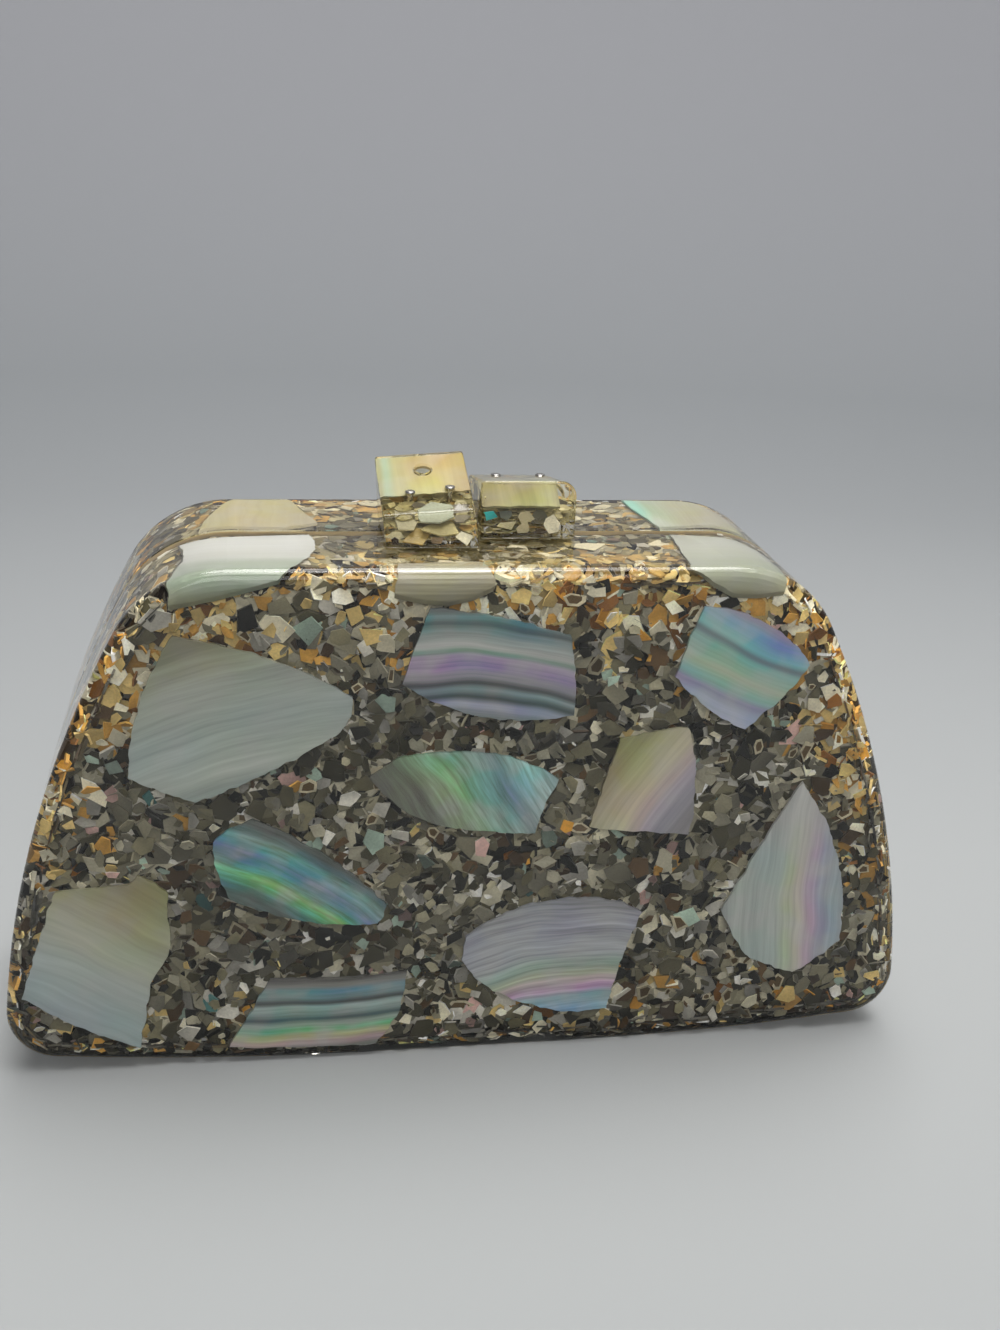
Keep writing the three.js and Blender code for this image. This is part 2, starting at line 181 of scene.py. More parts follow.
paper, tree = new_material("matt_paper")
place = add(tree, "ShaderNodeTexCoord").outputs["Object"]
local = add(tree, "ShaderNodeMapping", {
    "Vector": place, "Location": (0, SWEEP_CENTRE_Y, 0), "Scale": (SWEEP_RADIUS, SWEEP_RADIUS, FLATTEN)},
    vector_type="TEXTURE")
away = add(tree, "ShaderNodeVectorMath", {0: local}, operation="LENGTH")
shades = add(tree, "ShaderNodeValToRGB", {"Fac": away.outputs["Value"]})
shades.color_ramp.elements.new(PAPER_TONES_AND_FOLD_SHADE[1][0])
for element, (position, code) in zip(shades.color_ramp.elements, PAPER_TONES_AND_FOLD_SHADE):
    element.position = position
    element.color = linear(code)
shader = add(tree, "ShaderNodeBsdfPrincipled", {"Base Color": shades, "Roughness": 0.9})
add(tree, "ShaderNodeOutputMaterial", {"Surface": shader})
sweep.data.materials.append(paper)
print("paper nodes:", len(tree.nodes))

# %% [markdown]
# ## Light
# The shadow in the photograph is soft and lies close round the clutch, so the main light is a large one
# overhead. A fill from the front lightens the face, and a small lamp puts points of light on the resin.
# The last one lights the paper in front, which the polished resin mirrors.

# %% Soft light
# Columns in metres and watts: name, place, what it looks at, side of the square, power
LIGHTS = [
    ("overhead", (0.1, 0.12, 1.0), (0, 0, 0.05), 0.65, 7.6),
    ("front_fill", (0, -1.3, 0.8), (0.25, 0.4, 0.1), 0.9, 5.0),
    ("lamp", (0.1, -0.1, 1.0), (0, 0, 0.1), 0.2, 1.0),
    ("wall_fill", (0, -0.5, 1.5), (0, -1.9, 0.5), 0.9, 4.0),
]
ROOM_COLOUR, ROOM_STRENGTH = linear("#b9bdc0"), 0.2

for name, place, aim, size, watts in LIGHTS:
    data = bpy.data.lights.new(name, "AREA")
    data.size = size
    data.energy = watts
    light = bpy.data.objects.new(name, data)
    light.location = place
    light.rotation_euler = (Vector(aim) - Vector(place)).to_track_quat("-Z", "Y").to_euler()
    bpy.context.scene.collection.objects.link(light)
    print(name, "watts", watts)
world = bpy.data.worlds.new("studio")
world.use_nodes = True
background = world.node_tree.nodes["Background"]
background.inputs["Color"].default_value = ROOM_COLOUR
background.inputs["Strength"].default_value = ROOM_STRENGTH
bpy.context.scene.world = world
bpy.context.scene.view_settings.view_transform = "Standard"
bpy.context.scene.cycles.use_denoising = True

# %% [markdown]
# ## The two resin halves
# Each half is one casting: a tray with its outside edge rounded. It starts as a ring of points
# on the outline, which is filled, extruded to its depth and bevelled. The seam face is then inset by
# the wall and pushed in to make the hollow. The outline is four arcs that run into one another, and
# their mirror image.

# %% Outline of the clutch
low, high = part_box("front_shell")
BODY_WIDTH, BODY_HEIGHT = high.x - low.x, high.z
HALF_DEPTH, SEAM = -low.y, -high.y
BOW_RADIUS, BOTTOM_RADIUS, TOP_RADIUS = 620 * MM, 11 * MM, 25 * MM
BOW_TURN, LEAN_LOW, LEAN_HIGH = (math.radians(angle) for angle in (6, 95.5, 118.5))


def outline():
    """Points of the outline seen from the front as (x, z), anticlockwise."""
    flat = BODY_WIDTH / 2 - BOW_RADIUS * math.sin(BOW_TURN) - BOTTOM_RADIUS * (1 - math.sin(BOW_TURN))
    bow_rise = BOW_RADIUS * (1 - math.cos(BOW_TURN))
    side_low = bow_rise + BOTTOM_RADIUS * (math.cos(BOW_TURN) - math.cos(LEAN_LOW))
    side_high = BODY_HEIGHT - TOP_RADIUS * (1 + math.cos(LEAN_HIGH))
    side_radius = (side_high - side_low) / (math.cos(LEAN_LOW) - math.cos(LEAN_HIGH))
    # Columns: radius, heading at the end of the arc, steps
    arcs = [(BOW_RADIUS, BOW_TURN, 6), (BOTTOM_RADIUS, LEAN_LOW, 12),
            (side_radius, LEAN_HIGH, 16), (TOP_RADIUS, math.pi, 14)]
    points, heading = [(flat, 0.0)], 0.0
    for radius, end, steps in arcs:
        x, z = points[-1]
        for i in range(1, steps + 1):
            angle = heading + (end - heading) * i / steps
            points.append((x + radius * (math.sin(angle) - math.sin(heading)),
                           z + radius * (math.cos(heading) - math.cos(angle))))
        heading = end
    return points + [(-x, z) for x, z in reversed(points)]


print("outline points:", len(outline()))

# %% Resin halves
HALVES = {"front": -1, "back": 1}
WALL, SEAM_CHAMFER, NEAR = 4.5 * MM, 0.4 * MM, 0.01 * MM
EDGE_RADIUS, EDGE_STEPS, HOLLOW_RADIUS, HOLLOW_STEPS = 2.5 * MM, 6, 3 * MM, 5
SMOOTH_ANGLE = math.radians(35)


def choose(piece):
    """Makes a piece the only selected one, which the next operators act on."""
    bpy.ops.object.select_all(action="DESELECT")
    piece.select_set(True)
    bpy.context.view_layer.objects.active = piece


def smooth(piece):
    """Shades a piece smooth, but for its sharp edges."""
    choose(piece)
    bpy.ops.object.shade_smooth_by_angle(angle=SMOOTH_ANGLE)
    apply_modifier(piece, "WEIGHTED_NORMAL", keep_sharp=True)


def resin_half(name, facing):
    """One half. Facing is -1 for the front and 1 for the back."""
    def on_seam(face):
        return abs(face.center.y - facing * SEAM) < NEAR

    points = outline()
    bpy.ops.mesh.primitive_circle_add(vertices=len(points), radius=BODY_WIDTH / 2)
    half = bpy.context.object
    half.name = half.data.name = name
    for vertex, (x, z) in zip(half.data.vertices, points):
        vertex.co = (x, facing * SEAM, z)
    bpy.ops.object.mode_set(mode="EDIT")
    bpy.ops.mesh.select_all(action="SELECT")
    bpy.ops.mesh.edge_face_add()
    to_face = (0, facing * (HALF_DEPTH - SEAM), 0)
    bpy.ops.mesh.extrude_region_move(TRANSFORM_OT_translate={"value": to_face})
    bpy.ops.mesh.bevel(offset=EDGE_RADIUS, segments=EDGE_STEPS)
    pick(half, "polygons", on_seam)
    bpy.ops.mesh.bevel(offset=SEAM_CHAMFER, segments=1)
    pick(half, "polygons", on_seam)
    bpy.ops.mesh.inset(thickness=WALL - SEAM_CHAMFER)
    to_floor = (0, facing * (HALF_DEPTH - SEAM - WALL), 0)
    bpy.ops.mesh.extrude_region_move(TRANSFORM_OT_translate={"value": to_floor})
    bpy.ops.mesh.bevel(offset=HOLLOW_RADIUS, segments=HOLLOW_STEPS)
    bpy.ops.mesh.select_all(action="SELECT")
    bpy.ops.mesh.normals_make_consistent(inside=False)
    bpy.ops.object.mode_set(mode="OBJECT")
    smooth(half)
    print(name, "faces", len(half.data.polygons))
    return half


resin = {side: resin_half(f"{side}_resin", facing) for side, facing in HALVES.items()}

# %% [markdown]
# Two small hinges sit in pockets under the base, and a groove along the underside of the seam lets the
# lower edges clear each other as the clutch opens. Such cuts are made with simple cutting shapes and the
# Boolean modifier, and the cutters are thrown away afterwards.

# %% Cuts in the underside
HINGE_Z, HINGE_ROOM, GROOVE_HALF_WIDTH, GROOVE_LENGTH = 1.8 * MM, 0.3 * MM, 2.3 * MM, 170 * MM
BARREL_RADIUS, BARREL_SIDES = 1.5 * MM, 24
POCKET_OVER_AXIS, CUT_PAST = 0.8 * MM, 1 * MM


def cut_away(piece, cutter):
    """Takes the cutter's shape out of the piece and throws the cutter away."""
    apply_modifier(piece, "BOOLEAN", object=cutter, operation="DIFFERENCE", solver="EXACT")
    bpy.data.objects.remove(cutter)


def box_between(low_corner, high_corner):
    """A box with those corners, its place in its mesh."""
    low_corner, high_corner = Vector(low_corner), Vector(high_corner)
    bpy.ops.mesh.primitive_cube_add(size=1, location=(low_corner + high_corner) / 2)
    box = bpy.context.object
    box.scale = high_corner - low_corner
    bpy.ops.object.transform_apply()
    return box


def groove_cutter():
    """A long prism whose upper edge lies on the hinge axis."""
    bpy.ops.mesh.primitive_cylinder_add(
        vertices=3, radius=1, depth=GROOVE_LENGTH, rotation=(0, math.pi / 2, 0))
    prism = bpy.context.object
    bpy.ops.object.transform_apply()
    reach = GROOVE_HALF_WIDTH * (HINGE_Z + CUT_PAST) / HINGE_Z
    ridge = max(vertex.co.z for vertex in prism.data.vertices)
    for vertex in prism.data.vertices:
        on_ridge = vertex.co.z > ridge / 2
        vertex.co.y = 0 if on_ridge else math.copysign(reach, vertex.co.y)
        vertex.co.z = HINGE_Z if on_ridge else -CUT_PAST
    return prism


for side, half in resin.items():
    cut_away(half, groove_cutter())
    for hand in ("left", "right"):
        leaf_low, leaf_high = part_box(f"{side}_hinge_leaf_{hand}")
        room_low = (leaf_low.x - HINGE_ROOM, leaf_low.y - HINGE_ROOM, -CUT_PAST)
        room_high = (leaf_high.x + HINGE_ROOM, leaf_high.y + HINGE_ROOM, HINGE_Z + POCKET_OVER_AXIS)
        cut_away(half, box_between(room_low, room_high))
        bpy.ops.mesh.primitive_cylinder_add(
            vertices=BARREL_SIDES, radius=BARREL_RADIUS + HINGE_ROOM,
            depth=leaf_high.x - leaf_low.x + 2 * HINGE_ROOM,
            location=((leaf_low.x + leaf_high.x) / 2, 0, HINGE_Z), rotation=(0, math.pi / 2, 0))
        cut_away(half, bpy.context.object)
    print(half.name, "faces after the cuts", len(half.data.polygons))

# %% [markdown]
# Clear cast resin is polished like glass, with a light straw tint. Shadow rays pass straight
# through it, so the lamps light the shell inside. The rims that meet at the seam are matt and painted
# mottled gold, a painted glow of the light that the resin walls carry out to their edges, and the eye
# sees them as a thin golden line.

# %% Clear resin
MOTTLE_MM = 4
SEAM_TEST = 0.05 * MM


def clear_resin(name, tint):
    """Clear polished resin of that tint."""
    material, tree = new_material(name)
    glass = add(tree, "ShaderNodeBsdfPrincipled", {
        "Base Color": linear(tint), "Roughness": 0.02, "IOR": 1.5, "Transmission Weight": 1.0})
    straight = add(tree, "ShaderNodeBsdfTransparent")
    path = add(tree, "ShaderNodeLightPath")
    mixed = add(tree, "ShaderNodeMixShader", {0: path.outputs["Is Shadow Ray"], 1: glass, 2: straight})
    add(tree, "ShaderNodeOutputMaterial", {"Surface": mixed})
    return material


# Painted glow: the seam rims are coloured gold for the light that comes out at the edges of the resin walls.
seam_glow_resin, tree = new_material("seam_glow_amber")
place = add(tree, "ShaderNodeTexCoord").outputs["Object"]
mottle = add(tree, "ShaderNodeTexNoise", {"Vector": place, "Scale": 1 / (MOTTLE_MM * MM), "Detail": 3.0})
amber = add(tree, "ShaderNodeMix", {
    "Factor": mottle, 6: linear("#b08a3c"), 7: linear("#ecd38c")}, data_type="RGBA")
shader = add(tree, "ShaderNodeBsdfPrincipled", {"Base Color": amber.outputs[2], "Roughness": 0.45})
add(tree, "ShaderNodeOutputMaterial", {"Surface": shader})
body_resin = clear_resin("cast_resin_straw", "#fdfbf3")
for side, half in resin.items():
    smooth(half)
    half.data.materials.append(body_resin)
    half.data.materials.append(seam_glow_resin)
    for face in half.data.polygons:
        face.material_index = int(abs(face.center.y) < SEAM + SEAM_TEST)
    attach(half, f"{side}_half")
    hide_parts(f"{side}_shell")
    print(half.name, "sanded faces", sum(face.material_index for face in half.data.polygons))

# %% [markdown]
# ## Large shell pieces
# The maker broke mother-of-pearl and abalone into plates and laid them in the mould first, so they
# lie just under the face. Each starts as a copy of its solid: its loose triangles are merged, its rim is
# cut finer and moved a little by noise so that it looks snapped, and it is sunk under the polished face.

# %% Shell plates
SINK = 0.45 * MM
RIM_NOISE, RIM_NOISE_SIZE, RIM_CUTS, RIM_SEED = 0.45 * MM, 1.9 * MM, 6, 5
MERGE, FLAT_ANGLE, PLATE_ANGLE = 0.001 * MM, math.radians(1), math.radians(30)
# Without a seed, the vector noise would start from the clock and differ in each run.
noise.seed_set(RIM_SEED)


def shell_plate(side, node):
    """A sunk copy of one inlay with a snapped rim."""
    facing = HALVES[side]
    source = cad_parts[node]
    plate = bpy.data.objects.new(node.replace("inlay", "shell"), source.data.copy())
    plate.data.materials.clear()
    bpy.context.scene.collection.objects.link(plate)
    choose(plate)
    bpy.ops.object.mode_set(mode="EDIT")
    bpy.ops.mesh.select_all(action="SELECT")
    bpy.ops.mesh.remove_doubles(threshold=MERGE)
    bpy.ops.mesh.dissolve_limited(angle_limit=FLAT_ANGLE)
    bpy.ops.mesh.select_all(action="SELECT")
    bpy.ops.mesh.subdivide(number_cuts=RIM_CUTS)
    bpy.ops.object.mode_set(mode="OBJECT")
    over_edge = "edge" in node
    for vertex in plate.data.vertices:
        along = vertex.co.z - facing * vertex.co.y if over_edge else vertex.co.z
        shift = noise.noise_vector(Vector((vertex.co.x, 0, along)) / RIM_NOISE_SIZE) * RIM_NOISE
        vertex.co.x += shift.x
        vertex.co.y -= facing * SINK
        # A plate over the edge sinks along the slant, and its rim moves only sideways.
        vertex.co.z += -SINK if over_edge else shift.z
    bpy.ops.object.shade_smooth_by_angle(angle=PLATE_ANGLE)
    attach(plate, f"{side}_half")
    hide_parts(node)
    return plate


plates = {}
for side in HALVES:
    for node in sorted(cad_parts):
        if node.startswith(f"{side}_inlay_"):
            plates[node] = shell_plate(side, node)
print("shell plates:", len(plates))

# %% [markdown]
# ## Crushed shell
# Thousands of small flat flakes fill the resin behind the plates. They are far too many to place one by
# one, so arrays hold them all and one joined mesh is made for each half. Places are drawn from the resin's
# own outer faces, by area, and each flake then goes down into the wall along the normal there. Search
# trees tell whether a flake reaches out of the resin or comes too near a plate.

# %% Where flakes may lie
FLAKE_COVER, SIDE_COVER, PLATE_CLEARANCE = 0.4 * MM, 1.3 * MM, 0.7 * MM
SIDEWAYS, OUTWARD = 0.5, 3 * MM


def search_tree(pieces, wanted=lambda face: True):
    """A tree that finds the nearest of the wanted faces of several pieces."""
    points, faces = [], []
    for piece in pieces:
        first = len(points)
        points.extend(vertex.co.copy() for vertex in piece.data.vertices)
        faces.extend([first + v for v in face.vertices] for face in piece.data.polygons if wanted(face))
    return BVHTree.FromPolygons(points, faces)


def lies_clear(corners, skin, keep_off, cover):
    """Whether all corners lie under the skin of the resin and far enough from the faces to keep off."""
    for corner in corners:
        spot = Vector(corner)
        near, normal, _, gap = skin.find_nearest(spot)
        if gap < cover or (spot - near).dot(normal) > 0:
            return False
        if any(tree.find_nearest(spot, clearance)[0] is not None for tree, clearance in keep_off):
            return False
    return True


def on_side(face):
    """Whether a face is on the outside of a half and looks sideways, up or down."""
    outward = face.normal.dot(face.center - Vector((0, face.center.y, BODY_HEIGHT / 2)))
    return abs(face.normal.y) < SIDEWAYS and outward > OUTWARD


def outer_skin(half):
    """Corners, normals and areas of the triangles on the outside of a resin half."""
    mesh = half.data
    mesh.calc_loop_triangles()
    middle = Vector((0, 0, BODY_HEIGHT / 2))
    kept = [t for t in mesh.loop_triangles if t.normal.dot(t.center - middle) > OUTWARD]
    corners = np.array([[mesh.vertices[v].co for v in t.vertices] for t in kept])
    normals = np.array([t.normal for t in kept])
    areas = np.array([t.area for t in kept])
    return corners, normals, areas


def places_on_skin(rng, half, count):
    """Points drawn evenly from the outside of a half, with the normal at each."""
    corners, normals, areas = outer_skin(half)
    chosen = rng.choice(len(areas), count, p=areas / areas.sum())
    a, b = np.sqrt(rng.random(count)), rng.random(count)
    weights = np.stack([1 - a, a * (1 - b), a * b], 1)
    return np.einsum("ij,ijk->ik", weights, corners[chosen]), normals[chosen]


for half in resin.values():
    print(half.name, "outside in square mm", round(outer_skin(half)[2].sum() / MM ** 2))

# %% [markdown]
# The flakes are grey-olive, taupe and cream, with a few bright ones. Along the upper rim the light comes
# through the yellowed edge of the casting, and patches of flakes there are painted amber and bright, a
# painted glow of that light. On the top they are mixed toward one straw tone, a painted veil of the light
# that falls on the top. Deep flakes sit in the shade of the others and are painted darker, and those
# nearest the face are painted lighter. All this is worked out for each flake, because the flakes share
# one material.

# %% Flake colours
# Columns: share of the flakes, colour
COOL = [(0.17, "#8b8569"), (0.15, "#aaa48a"), (0.18, "#d2ccb4"), (0.18, "#5d5840"), (0.08, "#6c5232"),
        (0.15, "#211f17"), (0.008, "#e3bcb4"), (0.014, "#c3dccb"), (0.003, "#7fc6c4"), (0.11, "#f6f2e6")]
# Amber colours, which near the rim are also a painted glow of the light that comes in through the edge.
WARM_AND_GLOW = [(0.22, "#cb9a48"), (0.29, "#e6c983"), (0.32, "#f8f0d4"), (0.08, "#84561f"), (0.06, "#dea03c"),
        (0.03, "#43341f")]
# The tone that flakes on the top are mixed toward, a painted veil of the light from above, and how much.
TOP_VEIL_TONE, TOP_VEIL_SHARE = np.array(linear("#a29467")), 0.55
TONE_RANGE = (0.6, 1.25)
# Some flakes are cups seen from inside: a thick pale rim round a dark core.
CUPS, CUP_RIM, CUP_CORE = 0.035, linear("#cfc5a8"), linear("#5d4a2c")
WARM_REACH, WARM_PATCH = 13 * MM, 16 * MM
# Height in mm, and how strong the painted glow along the rim is there
RIM_FADE = ([18, 78], [0.25, 1])
# More of the flakes are painted amber and bright towards the right end of the top, where the painted glow is
# stronger: x in mm, and what is added to the patches
MORE_AMBER = ([0, 22, 52, 72], [0, 0.4, 0.4, 0])
AMBER_AT_RIM, AMBER_AT_SIDES, SIDES_FROM = 1.05, 0.5, 0.5
AMBER_EVEN, AMBER_PATCHY, AMBER_STRAY = 0.75, 1.3, 0.02
# How much of their light flakes keep at least where they look up, and near the rim
LIT_TOP, LIT_RIM = 0.35, 0.75
rim_line = np.array(outline())


def drawn_colours(rng, table, count):
    """Colours drawn from a table by its shares."""
    shares = np.array([share for share, _ in table])
    codes = np.array([linear(code) for _, code in table])
    return codes[rng.choice(len(table), count, p=shares / shares.sum())]


def rim_glow(place):
    """How near a flake is to the upper rim of the face, from 0 to 1."""
    flat = place[:, [0, 2]]
    away = np.full(len(place), np.inf)
    for start, end in zip(rim_line, np.roll(rim_line, -1, 0)):
        along = end - start
        share = np.clip((flat - start) @ along / (along @ along), 0, 1)
        away = np.minimum(away, np.linalg.norm(flat - start - share[:, None] * along, axis=1))
    from_rim = np.hypot(away, HALF_DEPTH - np.abs(place[:, 1]))
    return np.exp(-(from_rim / WARM_REACH) ** 2) * np.interp(place[:, 2] / MM, *RIM_FADE)


def warmth(place, normal):
    """How likely a flake is amber and painted bright: patches of painted glow along the upper rim of the
    face, and the two sides.
    """
    patch = np.array([noise.noise(Vector(p) / WARM_PATCH) for p in place])
    patch += np.interp(place[:, 0] / MM, *MORE_AMBER)
    side = AMBER_AT_SIDES * np.clip(np.abs(normal[:, 0]) - SIDES_FROM, 0, 1 - SIDES_FROM)
    likely = AMBER_AT_RIM * rim_glow(place) + side
    return likely * np.clip(AMBER_EVEN + AMBER_PATCHY * patch, 0, 1) + AMBER_STRAY


def flake_tones(rng, place, normal):
    """Colours of flakes, which of them are cups, and the least share of light that each keeps."""
    count = len(place)
    amber = (rng.random(count) < warmth(place, normal))[:, None]
    colour = np.where(amber, drawn_colours(rng, WARM_AND_GLOW, count), drawn_colours(rng, COOL, count))
    colour[:, :3] *= rng.uniform(*TONE_RANGE, (count, 1))
    # Painted veil: flakes that look up are mixed toward one straw tone, for the light that falls on the top.
    mixed = TOP_VEIL_SHARE * np.clip(2 * normal[:, 2] - 1, 0, 1)[:, None]
    colour = colour * (1 - mixed) + TOP_VEIL_TONE * mixed
    cup = rng.random(count) < CUPS
    colour[cup] = CUP_RIM
    # Painted light: amber flakes keep all their light at any depth, and the others keep at least some where
    # they look up and near the rim.
    near_light = np.maximum(np.clip(normal[:, 2], 0, LIT_TOP), LIT_RIM * rim_glow(place))
    return colour, cup, np.where(amber[:, 0], 1.0, near_light)


print("flake colours:", len(COOL), "cool and", len(WARM_AND_GLOW), "warm")

# %% [markdown]
# A flake is a thin prism on an irregular outline, which lies along two directions. A colour attribute
# gives each flake its own colour, each of its corners a slightly different shade, and its snapped rim a
# lighter one, a painted highlight where the broken edge catches the light.

# %% Flakes
FLAKE_CORNERS, CORNER_SHIFT, CORNER_REACH, FLAKE_WIDTH = (4, 7), 0.32, (0.7, 1.1), (0.5, 1)
CORNER_SHADES, RIM_HIGHLIGHT_GAIN, RIM_HIGHLIGHT_LIFT = (0.62, 1.2), 1.5, 0.03
CORE_SHARE, CORE_EVEN = 0.68, 3


def flake_corners(rng, centre, u, v, size, thick):
    """Corners of the two faces of one flake, which lies along u and v."""
    count = rng.integers(*FLAKE_CORNERS)
    shifted = np.arange(count) + rng.uniform(-CORNER_SHIFT, CORNER_SHIFT, count)
    angle = shifted * 2 * np.pi / count + rng.uniform(0, 2 * np.pi)
    radius = size * rng.uniform(*CORNER_REACH, count)
    along, across = radius * np.cos(angle), radius * np.sin(angle) * rng.uniform(*FLAKE_WIDTH)
    rim = centre + np.outer(along, u) + np.outer(across, v)
    lift = np.cross(u, v) * thick / 2
    return np.concatenate([rim + lift, rim - lift])


def flake_mesh(rng, name, flakes):
    """One joined mesh of flakes, each given by its corners, its colour and the colour of a core or None."""
    points, faces, colours = [], [], []
    for corners, colour, core in flakes:
        first, count = len(points), len(corners) // 2
        points.extend(corners)
        shades = colour * rng.uniform(*CORNER_SHADES, (2 * count, 1))
        faces.append([first + count + k for k in reversed(range(count))])
        colours.extend(shades[:count - 1:-1])
        inner = first
        if core is not None:
            inner = len(points)
            middle = rng.dirichlet(np.full(count, CORE_EVEN)) @ corners[:count]
            points.extend(middle + CORE_SHARE * (corners[:count] - middle))
        faces.append([inner + k for k in range(count)])
        colours.extend(shades[:count] if core is None else [core] * count)
        # Painted highlight: the snapped rim is made lighter, as where the broken edge catches the light.
        snapped = colour * RIM_HIGHLIGHT_GAIN + RIM_HIGHLIGHT_LIFT
        for k in range(count):
            j = (k + 1) % count
            faces.append([first + k, first + count + k, first + count + j, first + j])
            colours.extend([snapped] * 4)
            if core is not None:
                faces.append([first + k, first + j, inner + j, inner + k])
                colours.extend([shades[k], shades[j], shades[j], shades[k]])
    mesh = bpy.data.meshes.new(name)
    mesh.from_pydata(points, [], faces)
    tint = mesh.color_attributes.new("flake_colour", "FLOAT_COLOR", "CORNER")
    tint.data.foreach_set("color", np.clip(np.array(colours, np.float32), 0, 1).ravel())
    piece = bpy.data.objects.new(name, mesh)
    bpy.context.scene.collection.objects.link(piece)
    mesh.calc_loop_triangles()
    print(name, "flakes", len(flakes), "triangles", len(mesh.loop_triangles))
    return piece


# %% [markdown]
# Half of the flakes lie nearly flat and the others stand at a slant, as they settled in the mould. The
# last ones drawn are large and lie flat at the back of the wall, so that no light comes through, and the
# painted shade of their depth makes them nearly black. A flake that doesn't fit is moved deeper and cut
# smaller, and is left out if it still doesn't fit.

# %% Crushed shell in both halves
FLAKES, FLAKE_TRIES, FLAKE_STEP, FLAKE_SHRINK = 12500, 6, 0.65 * MM, 0.85
FLAKE_SIZE, FLAKE_SPREAD, FLAKE_SMALLEST, FLAKE_LARGEST = 2.2 * MM, 0.34, 0.9 * MM, 3.8 * MM
FLAKE_THICK, FLAT_SHARE, FLAT_TILTS, STEEP_TILTS = (0.1, 0.24), 0.55, (0, 22), (20, 75)
FLAKE_FLOOR, LEAST_ROOM, CROWDED_UP = 4.1 * MM, 0.1 * MM, 1.2
BACKING, BACKING_SIZE, BACKING_DEPTH, BACKING_TILT = 4200, 3.6 * MM, 3.4 * MM, 0.1
DEPTHS = np.array([0.4, 1.2, 2.4, 4.0]) * MM
# Painted light and shade by depth: flakes nearest the face are made lighter than their colour, and deep ones
# darker.
SHADE_AT_DEPTH = [1.4, 0.95, 0.12, 0.03]


def flake_directions(rng, normal, tilt):
    """Two directions for each flake: one along the skin, and one that goes down from it by the tilt."""
    u = np.cross(normal, rng.standard_normal(normal.shape))
    u /= np.linalg.norm(u, axis=1)[:, None]
    v = np.cross(normal, u) * np.cos(tilt)[:, None] - normal * np.sin(tilt)[:, None]
    return u, v


def crushed_shell(side, seed):
    """The flakes in the wall of one half, as one piece."""
    rng = np.random.default_rng(seed)
    skin = search_tree([resin[side]])
    own_plates = [plate for node, plate in plates.items() if node.startswith(side)]
    keep_off = [(search_tree(own_plates), PLATE_CLEARANCE),
                (search_tree([resin[side]], on_side), SIDE_COVER)]
    place, normal = places_on_skin(rng, resin[side], FLAKES)
    spread = np.exp(FLAKE_SPREAD * rng.standard_normal(FLAKES))
    size = np.clip(FLAKE_SIZE * spread, FLAKE_SMALLEST, FLAKE_LARGEST)
    thick = size * rng.uniform(*FLAKE_THICK, FLAKES)
    flat = rng.random(FLAKES) < FLAT_SHARE
    tilt = np.radians(np.where(flat, rng.uniform(*FLAT_TILTS, FLAKES), rng.uniform(*STEEP_TILTS, FLAKES)))
    reach = size * np.sin(tilt) + thick
    room = np.maximum(FLAKE_FLOOR - FLAKE_COVER - 2 * reach, LEAST_ROOM)
    deep = FLAKE_COVER + reach + rng.random(FLAKES) ** CROWDED_UP * room
    step = np.full(FLAKES, FLAKE_STEP)
    size[-BACKING:] = BACKING_SIZE
    tilt[-BACKING:] *= BACKING_TILT
    deep[-BACKING:] = BACKING_DEPTH
    step[-BACKING:] = 0
    u, v = flake_directions(rng, normal, tilt)
    colour, cup, lit = flake_tones(rng, place, normal)
    # The flakes at the back keep no light, so the painted shade makes them nearly black.
    lit[-BACKING:] = 0
    flakes = []
    for i in range(FLAKES):
        for attempt in range(FLAKE_TRIES):
            centre = place[i] - normal[i] * (deep[i] + attempt * step[i])
            corners = flake_corners(rng, centre, u[i], v[i], size[i] * FLAKE_SHRINK ** attempt, thick[i])
            if lies_clear((*corners, centre), skin, keep_off, FLAKE_COVER):
                shade = np.interp(skin.find_nearest(Vector(centre))[3], DEPTHS, SHADE_AT_DEPTH)
                shade = np.array((*[max(shade, lit[i])] * 3, 1))
                flakes.append((corners, colour[i] * shade, CUP_CORE * shade if cup[i] else None))
                break
    piece = flake_mesh(rng, f"{side}_crushed_shell", flakes)
    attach(piece, f"{side}_half")
    return piece


crushed = {side: crushed_shell(side, seed) for side, seed in (("front", 11), ("back", 12))}

# %% [markdown]
# Broken shell has a satin face, and the eye sees a fine grain across each flake. The colour comes from the
# attribute, and a fine noise makes it a little lighter and darker.

# %% Crushed shell material
GRAIN_MM = 0.5
# Noise seldom leaves this range, so it is stretched from there.
NOISE_RANGE = {"From Min": 0.3, "From Max": 0.7}

crushed_nacre, tree = new_material("crushed_river_shell")
place = add(tree, "ShaderNodeTexCoord").outputs["Object"]
tint = add(tree, "ShaderNodeVertexColor", layer_name="flake_colour")
grain = add(tree, "ShaderNodeTexNoise", {
    "Vector": place, "Scale": 1 / (GRAIN_MM * MM), "Detail": 3.0, "Roughness": 0.65})
shade = add(tree, "ShaderNodeMapRange", {
    "Value": grain, **NOISE_RANGE,
    "To Min": 0.82, "To Max": 1.12})
colour = add(tree, "ShaderNodeVectorMath", {0: tint, "Scale": shade}, operation="SCALE")
shader = add(tree, "ShaderNodeBsdfPrincipled", {
    "Base Color": colour, "Roughness": 0.3, "Specular IOR Level": 0.15})
add(tree, "ShaderNodeOutputMaterial", {"Surface": shader})
for flakes in crushed.values():
    flakes.data.materials.append(crushed_nacre)
print("crushed shell nodes:", len(tree.nodes))

